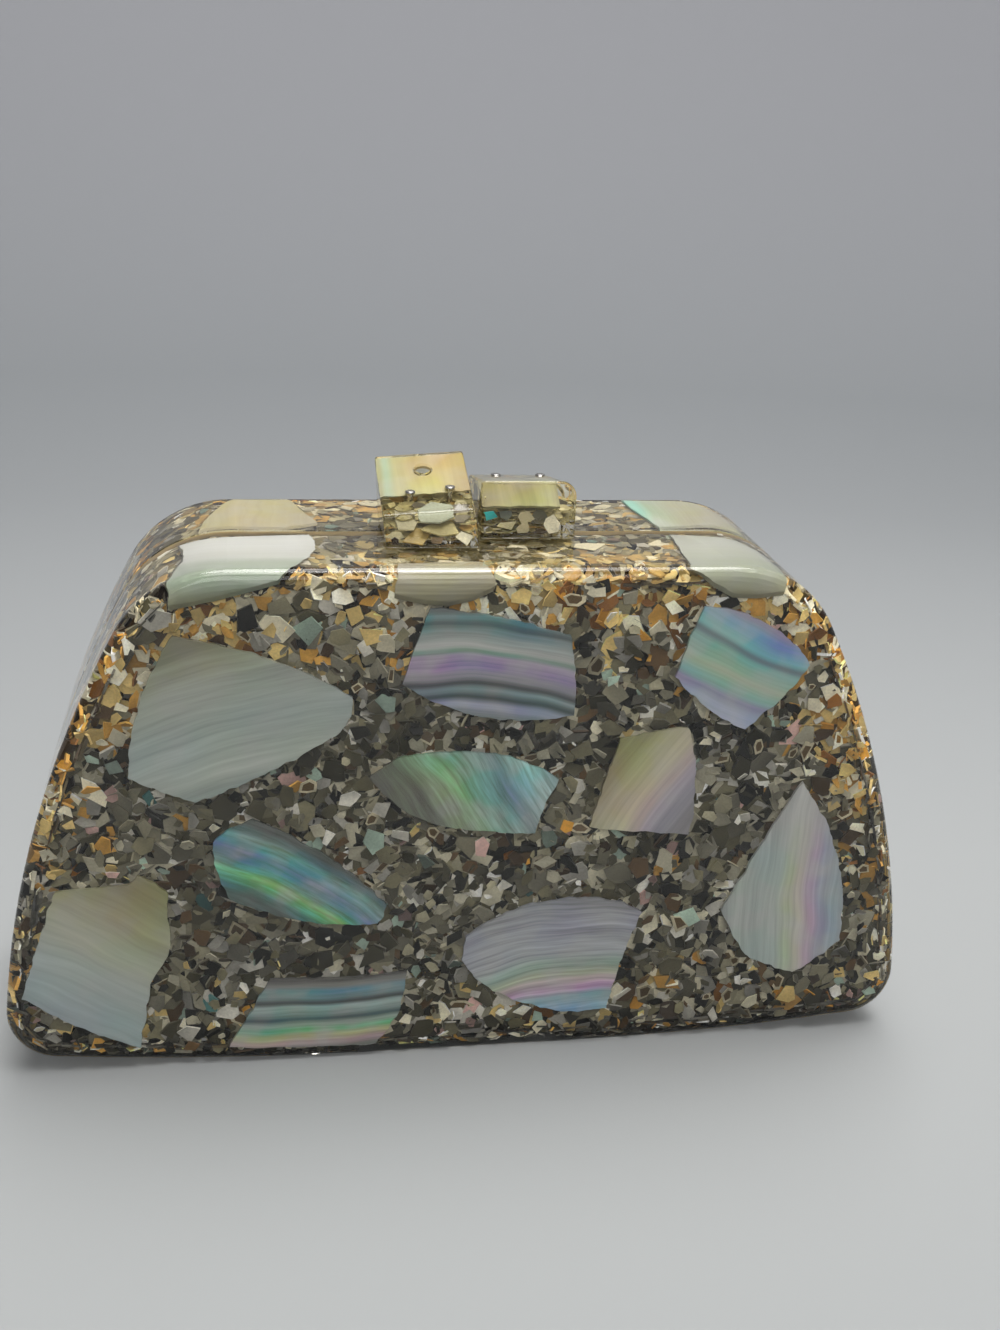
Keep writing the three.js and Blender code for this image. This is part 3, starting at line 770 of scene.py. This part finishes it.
# %% [markdown]
# ## Nacre
# Mother-of-pearl and abalone are grown in thin layers, which show as soft bands of colour with fine growth
# lines along them. The bands are a colour ramp across each plate. A bow bends them, a slow noise wavers
# them, and a second noise drawn out along the bands gives the growth lines and a slight relief. A third one
# makes the colours stronger in some places than in others.

# %% Nacre materials
WAVERS_PER_MM, PATCH_MM, PLAIN_MM, RELIEF_MM = 0.055, 8, 9, 0.1
NACRE_TONE, EVEN_HUE = 0.92, 0.5


def nacre(name, centre, angle, span, stops, bow=0.0, waver=0.12, lines=0.2, line_gap=0.7, hue=0.05,
          streak=0.0, run=33, faded=0.75, plain_past=None, slope=None):
    """Bands run at the angle, in degrees from level, and the stops go across them over the span in mm."""
    material, tree = new_material(name)
    place = add(tree, "ShaderNodeTexCoord").outputs["Object"]
    local = add(tree, "ShaderNodeMapping", {
        "Vector": place, "Location": Vector(centre) * MM,
        "Rotation": slope or (0, -math.radians(angle), 0), "Scale": (MM, MM, MM)}, vector_type="TEXTURE")
    parts = add(tree, "ShaderNodeSeparateXYZ", {"Vector": local})
    along, across = parts.outputs["X"], parts.outputs["Z"]
    squared = add(tree, "ShaderNodeMath", {0: along, 1: along}, operation="MULTIPLY")
    bent = add(tree, "ShaderNodeMath", {0: squared, 1: bow / span, 2: across}, operation="MULTIPLY_ADD")
    slow = add(tree, "ShaderNodeTexNoise", {
        "Vector": local, "Scale": WAVERS_PER_MM, "Detail": 1.0, "Roughness": 0.5})
    wavering = add(tree, "ShaderNodeMath", {0: slow, 1: waver * span, 2: bent}, operation="MULTIPLY_ADD")
    share = add(tree, "ShaderNodeMapRange", {
        "Value": wavering, "From Min": (waver - 1) * span / 2, "From Max": (waver + 1) * span / 2})
    ramp = add(tree, "ShaderNodeValToRGB", {"Fac": share})
    bands = ramp.color_ramp
    bands.interpolation = "EASE"
    while len(bands.elements) < len(stops):
        bands.elements.new(1.0)
    for element, (position, code) in zip(bands.elements, stops):
        element.position = position
        element.color = linear(code)
    drawn_out = add(tree, "ShaderNodeCombineXYZ", {"X": along, "Z": wavering})
    stretched = add(tree, "ShaderNodeVectorMath", {
        0: drawn_out, 1: (1 / run, 1.0, 1 / line_gap)}, operation="MULTIPLY")
    growth = add(tree, "ShaderNodeTexNoise", {
        "Vector": stretched, "Scale": 1.0, "Detail": 3.5, "Roughness": 0.6})
    shade = add(tree, "ShaderNodeMapRange", {
        "Value": growth, **NOISE_RANGE,
        "To Min": NACRE_TONE * (1 - lines), "To Max": NACRE_TONE * (1 + lines)})
    lined = add(tree, "ShaderNodeVectorMath", {0: ramp, "Scale": shade}, operation="SCALE")
    turned = add(tree, "ShaderNodeMapRange", {
        "Value": slow, **NOISE_RANGE,
        "To Min": EVEN_HUE - hue - streak / 2, "To Max": EVEN_HUE + hue - streak / 2})
    streaked = add(tree, "ShaderNodeMath", {0: growth, 1: streak, 2: turned}, operation="MULTIPLY_ADD")
    patches = add(tree, "ShaderNodeTexNoise", {
        "Vector": local, "Scale": 1 / PATCH_MM, "Detail": 2.0, "Roughness": 0.5})
    play = add(tree, "ShaderNodeMapRange", {
        "Value": patches, "From Min": 0.35, "From Max": 0.6, "To Min": faded, "To Max": 1.1})
    colour = add(tree, "ShaderNodeHueSaturation", {"Hue": streaked, "Saturation": play, "Color": lined})
    if plain_past is not None:
        plain = add(tree, "ShaderNodeMapRange", {
            "Value": along, "From Min": plain_past, "From Max": plain_past + PLAIN_MM,
            "To Min": 1.0, "To Max": 0.15})
        colour = add(tree, "ShaderNodeHueSaturation", {"Saturation": plain, "Color": colour})
    relief = add(tree, "ShaderNodeBump", {"Height": growth, "Strength": 0.25, "Distance": RELIEF_MM * MM})
    shader = add(tree, "ShaderNodeBsdfPrincipled", {
        "Base Color": colour, "Roughness": 0.27, "Normal": relief})
    add(tree, "ShaderNodeOutputMaterial", {"Surface": shader})
    return material


# %% [markdown]
# Each plate on the faces has bands of its own, and the back has the same as the front. The lips over the
# top edges are paler and plainer. Their bands lie on a slant, because they are seen on both sides of the
# edge.

# %% Nacre of each plate
PLATE_NACRE = {
    "upper_left": nacre("pearl_grey_wide", (-49, 0, 81), 14, 38, [
        (0, "#a9b3af"), (0.14, "#97a3a0"), (0.24, "#b7bfb9"), (0.5, "#a9b4b1"), (0.72, "#abb2a9"),
        (0.88, "#a2a591"), (1, "#85846a")],
        bow=0.12, waver=0.06, lines=0.19, line_gap=1.5),
    "upper_middle": nacre("abalone_lilac_arched", (2, 0, 93), -7, 24, [
        (0, "#7c878c"), (0.1, "#a3a2c4"), (0.17, "#3d4d55"), (0.24, "#8a9ba4"), (0.29, "#4a4e54"),
        (0.36, "#a19da8"), (0.45, "#a48db6"), (0.53, "#b39fbb"), (0.58, "#84a499"), (0.63, "#c3c5c2"),
        (0.7, "#a3adac"), (0.78, "#7d9a9c"), (0.83, "#4a686d"), (0.89, "#5b949b"), (0.95, "#6a787a"),
        (1, "#565d5a")],
        bow=0.14, lines=0.2, streak=0.1, faded=0.45),
    "upper_right": nacre("abalone_blue_arched", (55, 0, 91), -24, 26, [
        (0, "#b9bdd8"), (0.1, "#b0b5d2"), (0.2, "#a09cb8"), (0.28, "#97c1bd"), (0.38, "#b5c6b0"),
        (0.46, "#9fc2b6"), (0.54, "#8bc0be"), (0.6, "#728590"), (0.66, "#87c2c9"), (0.78, "#86abd0"),
        (0.88, "#a59dba"), (1, "#97938c")],
        bow=-0.16, lines=0.1, streak=0.08, faded=0.6),
    "centre_leaf": nacre("abalone_green_slant", (-2, 0, 64), -58, 34, [
        (0, "#63665a"), (0.2, "#68705f"), (0.32, "#92a98c"), (0.42, "#8dbc92"), (0.52, "#83b3a4"),
        (0.62, "#86b5b1"), (0.72, "#759aa0"), (0.82, "#94c8c7"), (0.9, "#b2e2dd"), (1, "#8ab5ae")],
        bow=0.05, lines=0.46, line_gap=1.1, streak=0.2, run=14, faded=0.45),
    "centre_right": nacre("pearl_olive_pink", (35.5, 0, 65), 56, 26, [
        (0, "#908d92"), (0.14, "#a09ba8"), (0.25, "#b7adb8"), (0.34, "#c4b8b2"), (0.46, "#cbc8ac"),
        (0.62, "#bbb994"), (0.8, "#a19a72"), (1, "#7f7852")],
        bow=0.1, waver=0.06, lines=0.16, line_gap=1.2),
    "lower_left": nacre("abalone_peacock", (-38, 0, 46), -32, 20, [
        (0, "#4d6462"), (0.1, "#507f84"), (0.18, "#6aae93"), (0.27, "#88cc92"), (0.35, "#62a6a0"),
        (0.43, "#5b89a4"), (0.5, "#7088b0"), (0.58, "#66a0b0"), (0.66, "#6fa7a2"), (0.74, "#58777c"),
        (0.82, "#5b635f"), (1, "#4f534c")],
        bow=0.1, lines=0.42, line_gap=1.1, hue=0.06, streak=0.26, run=11, faded=0.45),
    "right_side": nacre("pearl_lavender_upright", (71, 0, 42), 90, 30, [
        (0, "#a5a6ac"), (0.14, "#a0adba"), (0.24, "#a8a9be"), (0.33, "#c2adc1"), (0.43, "#c3c1b5"),
        (0.5, "#bac6ae"), (0.6, "#b2bdba"), (0.75, "#aab6b4"), (0.9, "#b1bcb6"), (1, "#a2a9a8")],
        bow=0.04, lines=0.18, line_gap=1.0, faded=0.4, plain_past=5),
    "left_corner": nacre("pearl_grey_olive", (-79, 0, 26), -32, 40, [
        (0, "#a3adb3"), (0.2, "#aab5bb"), (0.4, "#b3bcbb"), (0.6, "#b7bcab"), (0.8, "#aca98a"),
        (1, "#97926c")],
        lines=0.14, line_gap=1.7),
    "base_left": nacre("abalone_banded_level", (-33, 0, 12), 1, 19, [
        (0, "#848884"), (0.08, "#c3aeae"), (0.17, "#bfc59c"), (0.26, "#7cc0a0"), (0.33, "#9fb5ad"),
        (0.4, "#466068"), (0.47, "#89a5a4"), (0.56, "#a2c0c0"), (0.62, "#4a5256"), (0.7, "#7b9aa0"),
        (0.78, "#6b9ca8"), (0.86, "#8b8a86"), (0.93, "#5f5d5a"), (1, "#726f6b")],
        bow=-0.06, lines=0.22, streak=0.1, run=18, faded=0.4),
    "base_right": nacre("pearl_lavender_lined", (17, 0, 24), 6, 30, [
        (0, "#8fb0ce"), (0.1, "#98b9c8"), (0.17, "#c6a4c4"), (0.24, "#c4b6b8"), (0.3, "#b7c0ac"),
        (0.38, "#9fb3ab"), (0.5, "#b0b3bb"), (0.75, "#a3a5b1"), (1, "#93969d")],
        bow=0.2, lines=0.38, line_gap=1.0, hue=0.03, faded=0.5),
}
LIP_SLOPE = (math.radians(-45), 0, 0)
EDGE_NACRE = {
    "front_inlay_edge_left": nacre("pearl_white_lip", (-50, -20, 107), 0, 21, [
        (0, "#96895f"), (0.12, "#a39870"), (0.25, "#95987c"), (0.42, "#93a08d"), (0.62, "#a3a99b"),
        (0.8, "#bdbdb6"), (1, "#c6c6c0")],
        slope=LIP_SLOPE, waver=0.06, lines=0.04, hue=0.01),
    "front_inlay_edge_middle": nacre("pearl_smoky_lip", (-9, -22, 109), 0, 12, [
        (0, "#8f8972"), (0.3, "#aaa38b"), (0.6, "#9d967f"), (1, "#b3ac95")],
        slope=LIP_SLOPE, lines=0.3, hue=0.02),
    "front_inlay_edge_right": nacre("pearl_cream_lip", (52, -20, 107), 0, 21, [
        (0, "#a39667"), (0.2, "#a09b7c"), (0.5, "#a0a492"), (1, "#afb0a4")],
        slope=LIP_SLOPE, waver=0.06, lines=0.05, hue=0.01),
    "back_inlay_edge_left": nacre("pearl_mint_stripe", (51, 0, 113), 62, 26, [
        (0, "#aca789"), (0.5, "#a8a58a"), (0.75, "#a5ad94"), (0.88, "#98c6b0"), (1, "#78ab98")],
        lines=0.1, hue=0.02),
    "back_inlay_edge_right": nacre("pearl_straw", (-45, 0, 113), 20, 26, [
        (0, "#a89f74"), (0.5, "#b3aa84"), (1, "#a69d74")],
        lines=0.1, hue=0.02),
}
for node, plate in plates.items():
    kind = node.split("_inlay_")[1]
    plate.data.materials.append(EDGE_NACRE.get(node) or PLATE_NACRE[kind])
print("kinds of nacre:", len(PLATE_NACRE) + len(EDGE_NACRE))

# %% [markdown]
# ## Clasp
# Two small blocks of yellow resin stand on the top edges and snap past each other. Each is cast round a thin
# sheet of straw-coloured shell, with larger chips below it. A block starts as a cube whose upper corners are
# set to the slope of its top, and then its edges are bevelled. The back block has one upper edge worn quite
# round, and the front one has a blind hole in its top.

# %% Clasp blocks
CLASP_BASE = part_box("front_clasp_block")[0].z / MM
CLASP_EDGE, CLASP_EDGE_STEPS, CLASP_ROUND, CLASP_ROUND_STEPS = 0.6 * MM, 4, 3.5 * MM, 8
CLASP_SHARP = math.radians(30)
# All in mm: plan limits, heights of the top over the base, its rise to the right, and how far the sides lean
BLOCKS = {
    "front": {"left": -19.4, "right": -0.2, "near": -14.3, "far": 6.7, "near_height": 7.6, "far_height": 14.9,
              "rise": 1.4, "left_lean": -1.0, "right_lean": -1.4},
    "back": {"left": 0.9, "right": 20.8, "near": -7.8, "far": 13.5, "near_height": 12.6, "far_height": 8.5,
             "rise": 0.0, "left_lean": 0.0, "right_lean": 0.0},
}
# Place in plan, radius and depth in mm of the blind hole in the top of the front block
DIMPLE = {"x": -9.5, "y": 1.1, "radius": 1.8, "depth": 2.5}
DIMPLE_SIDES = 32


def block_top(block, x, y):
    """Height of the top of a block over its base."""
    mean = np.interp(y, [block["near"], block["far"]], [block["near_height"], block["far_height"]])
    middle = (block["left"] + block["right"]) / 2
    return mean + block["rise"] * (x - middle) / (block["right"] - block["left"])


def in_block(block, x, y, height):
    """The place in metres of a point of a block, which leans more the higher it is."""
    lean = np.interp(x, [block["left"], block["right"]], [block["left_lean"], block["right_lean"]])
    return Vector((x + lean * height / block_top(block, x, y), y, CLASP_BASE + height)) * MM


def clasp_block(side):
    """The resin of one block, before the blind hole is drilled."""
    block = BLOCKS[side]
    low_corner = Vector((block["left"], block["near"], CLASP_BASE)) * MM
    high_corner = Vector((block["right"], block["far"], CLASP_BASE + 1)) * MM
    piece = box_between(low_corner, high_corner)
    piece.name = piece.data.name = f"{side}_clasp_resin"
    for vertex in piece.data.vertices:
        if vertex.co.z > (low_corner.z + high_corner.z) / 2:
            x, y, _ = vertex.co / MM
            vertex.co = in_block(block, x, y, block_top(block, x, y))
    if side == "back":
        pick(piece, "edges", lambda edge: all(
            end.x > high_corner.x - MM and end.z > high_corner.z for end in ends(piece, edge)))
        bpy.ops.mesh.bevel(offset=CLASP_ROUND, segments=CLASP_ROUND_STEPS)
    bpy.ops.object.mode_set(mode="EDIT")
    bpy.ops.mesh.select_all(action="DESELECT")
    bpy.ops.mesh.select_mode(type="EDGE")
    bpy.ops.mesh.edges_select_sharp(sharpness=CLASP_SHARP)
    bpy.ops.mesh.bevel(offset=CLASP_EDGE, segments=CLASP_EDGE_STEPS)
    bpy.ops.object.mode_set(mode="OBJECT")
    return piece


def dimple_drill(radius):
    """A drill that stands on the floor of the blind hole."""
    block = BLOCKS["front"]
    top = block_top(block, DIMPLE["x"], DIMPLE["y"])
    bpy.ops.mesh.primitive_cylinder_add(
        vertices=DIMPLE_SIDES, radius=radius * MM, depth=2 * DIMPLE["depth"] * MM,
        location=in_block(block, DIMPLE["x"], DIMPLE["y"], top))
    bpy.ops.object.transform_apply()
    return bpy.context.object


clasp_resin = clear_resin("cast_resin_yellow", "#fbf6e0")
blocks = {side: clasp_block(side) for side in HALVES}
cut_away(blocks["front"], dimple_drill(DIMPLE["radius"]))
for side, piece in blocks.items():
    smooth(piece)
    piece.data.materials.append(clasp_resin)
    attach(piece, f"{side}_half")
    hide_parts(f"{side}_clasp_block")
    print(piece.name, "faces", len(piece.data.polygons))

# %% [markdown]
# The sheet in each block is a grid laid under the top, with a ragged near edge, and Solidify makes it thick.
# The front one follows the sloping top, and the blind hole is drilled through it. The back one slants up
# from the near face of its block.

# %% Shell sheets in the clasp
SHEET_THICK, SHEET_STEPS, SHEET_HOLE_ROOM = 0.5 * MM, (36, 18), 0.25
# In mm: from the left side of the block, how ragged the near edge is, how much the sheet swells, and how
# long both take
SHEET_MARGIN, SHEET_RAGGED, SHEET_SWELL, RAGGED_LENGTH, SWELL_LENGTH = 0.4, 0.7, 0.12, 2.5, 4
SHEETS = {
    "front": {"near": -7.0, "far": 6.3, "right": -0.6, "under_top": 1.0},
    "back": {"near": -6.9, "far": 1.5, "right": 17.4, "near_height": 6.8, "far_height": 10.15},
}


def sheet_height(side, x, y):
    """Height of a sheet over the base of its block."""
    sheet = SHEETS[side]
    if "under_top" in sheet:
        return block_top(BLOCKS[side], x, y) - sheet["under_top"]
    return np.interp(y, [sheet["near"], sheet["far"]], [sheet["near_height"], sheet["far_height"]])


def clasp_sheet(side):
    """The sheet of shell in one block, before the blind hole is drilled."""
    block, sheet = BLOCKS[side], SHEETS[side]
    bpy.ops.mesh.primitive_grid_add(x_subdivisions=SHEET_STEPS[0], y_subdivisions=SHEET_STEPS[1], size=1)
    piece = bpy.context.object
    piece.name = piece.data.name = f"{side}_clasp_sheet"
    for vertex in piece.data.vertices:
        x = np.interp(vertex.co.x, [-0.5, 0.5], [block["left"] + SHEET_MARGIN, sheet["right"]])
        ragged = sheet["near"] + SHEET_RAGGED * noise.noise((x / RAGGED_LENGTH, 0, block["near"]))
        y = np.interp(vertex.co.y, [-0.5, 0.5], [ragged, sheet["far"]])
        swell = SHEET_SWELL * noise.noise((x / SWELL_LENGTH, y / SWELL_LENGTH, 0))
        vertex.co = in_block(block, x, y, sheet_height(side, x, y) + swell)
    apply_modifier(piece, "SOLIDIFY", thickness=SHEET_THICK, offset=0)
    return piece


SHEET_NACRE = {
    "front": nacre("pearl_straw_mint", (-10.5, 0, 124), 90, 19, [
        (0, "#ab945f"), (0.25, "#b8a273"), (0.55, "#b5a876"), (0.8, "#afaa7e"), (0.92, "#9eb199"),
        (1, "#a29f70")],
        lines=0.1, line_gap=2, hue=0.03),
    "back": nacre("pearl_straw_olive", (11, 0, 121), 90, 19, [
        (0, "#90875b"), (0.3, "#a09971"), (0.5, "#928a60"), (0.75, "#999268"), (1, "#898055")],
        lines=0.2, line_gap=2, hue=0.03),
}
sheets = {side: clasp_sheet(side) for side in HALVES}
cut_away(sheets["front"], dimple_drill(DIMPLE["radius"] + SHEET_HOLE_ROOM))
for side, piece in sheets.items():
    smooth(piece)
    piece.data.materials.append(SHEET_NACRE[side])
    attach(piece, f"{side}_half")
    print(piece.name, "faces", len(piece.data.polygons))

# %% [markdown]
# The chips that show in each block are placed one by one from a table, because the eye finds each of them.
# Smaller ones, drawn at random, fill the resin behind them. They are made and tested like the flakes.

# %% Chips in the clasp
# Columns in mm and degrees: x, y, height over the base, radius, pitch from level, turn from above, colour
CLASP_CHIPS = {
    "front": [
        (-8.4, -10.4, 5.9, 4.3, 22, 0, "#a3a796"), (-7.4, -11.6, 3.9, 5.2, 34, 8, "#aea270"),
        (-15.2, -10.6, 4.6, 3.3, 30, -5, "#aaa283"), (-13.0, -12.0, 2.2, 4.2, 40, 0, "#b39a58"),
        (-17.3, -12.9, 2.4, 1.9, 80, 0, "#cdc4a0"), (-17.5, -13.5, 1.5, 1.2, 88, 0, "#33241a"),
        (-8.6, -12.7, 1.6, 1.7, 70, 0, "#8d7350"), (-2.9, -12.7, 2.2, 2.2, 65, 0, "#dcd6c0"),
        (-3.4, -9.4, 5.6, 2.3, 20, 0, "#7c7566"), (-11.8, -8.8, 6.4, 1.6, 15, 0, "#6c6452"),
        (-11.0, -6.0, 3.4, 4.4, 12, 0, "#9c9160"), (-6.0, -5.0, 2.2, 4.0, 12, 0, "#a79a66"),
        (-15.0, -6.0, 2.0, 3.4, 12, 0, "#b0a06a"),
    ],
    "back": [
        (2.6, -6.9, 5.0, 2.0, 88, 0, "#3cc0c6"), (6.0, -5.8, 5.0, 1.9, 75, 0, "#5f6458"),
        (6.2, -6.5, 2.9, 2.4, 72, 0, "#d6cca2"), (10.2, -6.3, 4.6, 2.0, 82, 0, "#bdb391"),
        (9.9, -6.7, 2.3, 1.7, 80, 0, "#ada384"), (16.0, -6.5, 3.2, 2.3, 78, 0, "#ebe5d0"),
        (13.2, -5.2, 4.2, 2.2, 70, 0, "#605d45"), (8.0, -3.4, 1.5, 3.2, 12, 0, "#858356"),
        (13.6, -5.8, 1.5, 1.4, 40, 0, "#3d2c1c"), (5.0, 0.0, 4.6, 3.4, 12, 0, "#8d8458"),
        (12.0, 1.0, 4.2, 4.0, 12, 0, "#9a9164"), (16.5, 0.0, 3.0, 3.0, 12, 0, "#8a815a"),
        (1.6, -3.6, 8.4, 3.6, 88, 90, "#a39a6e"), (1.7, 2.6, 6.6, 3.8, 88, 90, "#958c62"),
        (1.6, -4.2, 3.4, 2.6, 88, 90, "#8d8458"),
    ],
}
# Columns: share of the chips that fill, colour
CLASP_FILL = [(0.36, "#aca071"), (0.32, "#beb48a"), (0.18, "#988e62"), (0.12, "#b69658"), (0.02, "#4e4733")]
# How many fill, how far behind the near side, and the limits of their heights, radii and pitches
CLASP_FILLERS, FILL_BEHIND, FILL_HEIGHT, FILL_SIZE, FILL_PITCH = 420, 4.5, (0.8, 6.4), (0.8, 2.2), (0, 50)
CHIP_TRIES, CHIP_SHRINK, CHIP_COVER, CHIP_THICK = 4, 0.88, 0.2 * MM, 0.35 * MM


def clasp_chips(side, seed):
    """The chips in one block, as one piece."""
    rng = np.random.default_rng(seed)
    block = BLOCKS[side]
    skin, keep_off = search_tree([blocks[side]]), [(search_tree([sheets[side]]), CHIP_COVER)]
    rows = [(*row, linear(code)) for *row, code in CLASP_CHIPS[side]]
    for colour in drawn_colours(rng, CLASP_FILL, CLASP_FILLERS):
        x = rng.uniform(block["left"], block["right"])
        y = rng.uniform(block["near"] + FILL_BEHIND, block["far"])
        rows.append((x, y, rng.uniform(*FILL_HEIGHT), rng.uniform(*FILL_SIZE), rng.uniform(*FILL_PITCH),
                     0, colour))
    chips = []
    for x, y, height, size, pitch, turn, colour in rows:
        pitch, turn = math.radians(pitch), math.radians(turn)
        u = np.array((math.cos(turn), math.sin(turn), 0))
        level = math.cos(pitch)
        v = np.array((-math.sin(turn) * level, math.cos(turn) * level, math.sin(pitch)))
        centre = np.array(in_block(block, x, y, height))
        for attempt in range(CHIP_TRIES):
            corners = flake_corners(rng, centre, u, v, size * CHIP_SHRINK ** attempt * MM, CHIP_THICK)
            if lies_clear(corners, skin, keep_off, CHIP_COVER):
                chips.append((corners, np.array(colour), None))
                break
    piece = flake_mesh(rng, f"{side}_clasp_chips", chips)
    piece.data.materials.append(crushed_nacre)
    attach(piece, f"{side}_half")


for side, seed in (("front", 21), ("back", 22)):
    clasp_chips(side, seed)

# %% [markdown]
# ## Pins and hinges
# Two steel pins hold each block to its half. A pin starts as a cylinder. Its upper face is scaled out to the
# head's width, extruded to the head's height and bevelled into a dome. The hinges are plain enough to keep
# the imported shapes. Polished steel gives small bright mirrors, dulled by the faint scratches that handling
# leaves, which are drawn coarser than real.

# %% Clasp pins
PIN_RADIUS, PIN_SIDES, PIN_HEAD_HEIGHT, PIN_DOME, PIN_DOME_STEPS = 0.65 * MM, 24, 0.4 * MM, 0.3 * MM, 5
LOOKS_UP = 0.9
SCRATCH_MM = 0.4

steel, tree = new_material("polished_steel")
place = add(tree, "ShaderNodeTexCoord").outputs["Object"]
scratches = add(tree, "ShaderNodeTexNoise", {"Vector": place, "Scale": 1 / (SCRATCH_MM * MM), "Detail": 4.0})
rough = add(tree, "ShaderNodeMapRange", {"Value": scratches, "To Min": 0.18, "To Max": 0.36})
shader = add(tree, "ShaderNodeBsdfPrincipled", {
    "Base Color": linear("#c9c6c0"), "Metallic": 1.0, "Roughness": rough})
add(tree, "ShaderNodeOutputMaterial", {"Surface": shader})


def clasp_pin(node):
    """One pin with a domed head that sits on the top of its block."""
    pin_low, pin_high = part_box(node)
    middle = (pin_low + pin_high) / 2
    block = BLOCKS[node.split("_")[0]]
    seat = (CLASP_BASE + block_top(block, middle.x / MM, middle.y / MM)) * MM
    bpy.ops.mesh.primitive_cylinder_add(
        vertices=PIN_SIDES, radius=PIN_RADIUS, depth=seat - pin_low.z,
        location=(middle.x, middle.y, (pin_low.z + seat) / 2))
    pin = bpy.context.object
    pin.name = pin.data.name = node.replace("pin", "domed_pin")
    bpy.ops.object.transform_apply()
    pick(pin, "polygons", lambda face: face.normal.z > LOOKS_UP)
    bpy.ops.mesh.extrude_region_move(TRANSFORM_OT_translate={"value": (0, 0, 0)})
    wider = (pin_high.x - pin_low.x) / 2 / PIN_RADIUS
    bpy.ops.transform.resize(value=(wider, wider, 1), center_override=(middle.x, middle.y, seat))
    bpy.ops.mesh.extrude_region_move(TRANSFORM_OT_translate={"value": (0, 0, PIN_HEAD_HEIGHT)})
    bpy.ops.mesh.bevel(offset=PIN_DOME, segments=PIN_DOME_STEPS)
    bpy.ops.object.mode_set(mode="OBJECT")
    smooth(pin)
    pin.data.materials.append(steel)
    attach(pin, f"{node.split('_')[0]}_half")
    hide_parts(node)
    print(pin.name, "faces", len(pin.data.polygons))


for node in sorted(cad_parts):
    if "clasp_pin" in node:
        clasp_pin(node)
    if "hinge" in node:
        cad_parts[node].data.materials.clear()
        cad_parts[node].data.materials.append(steel)
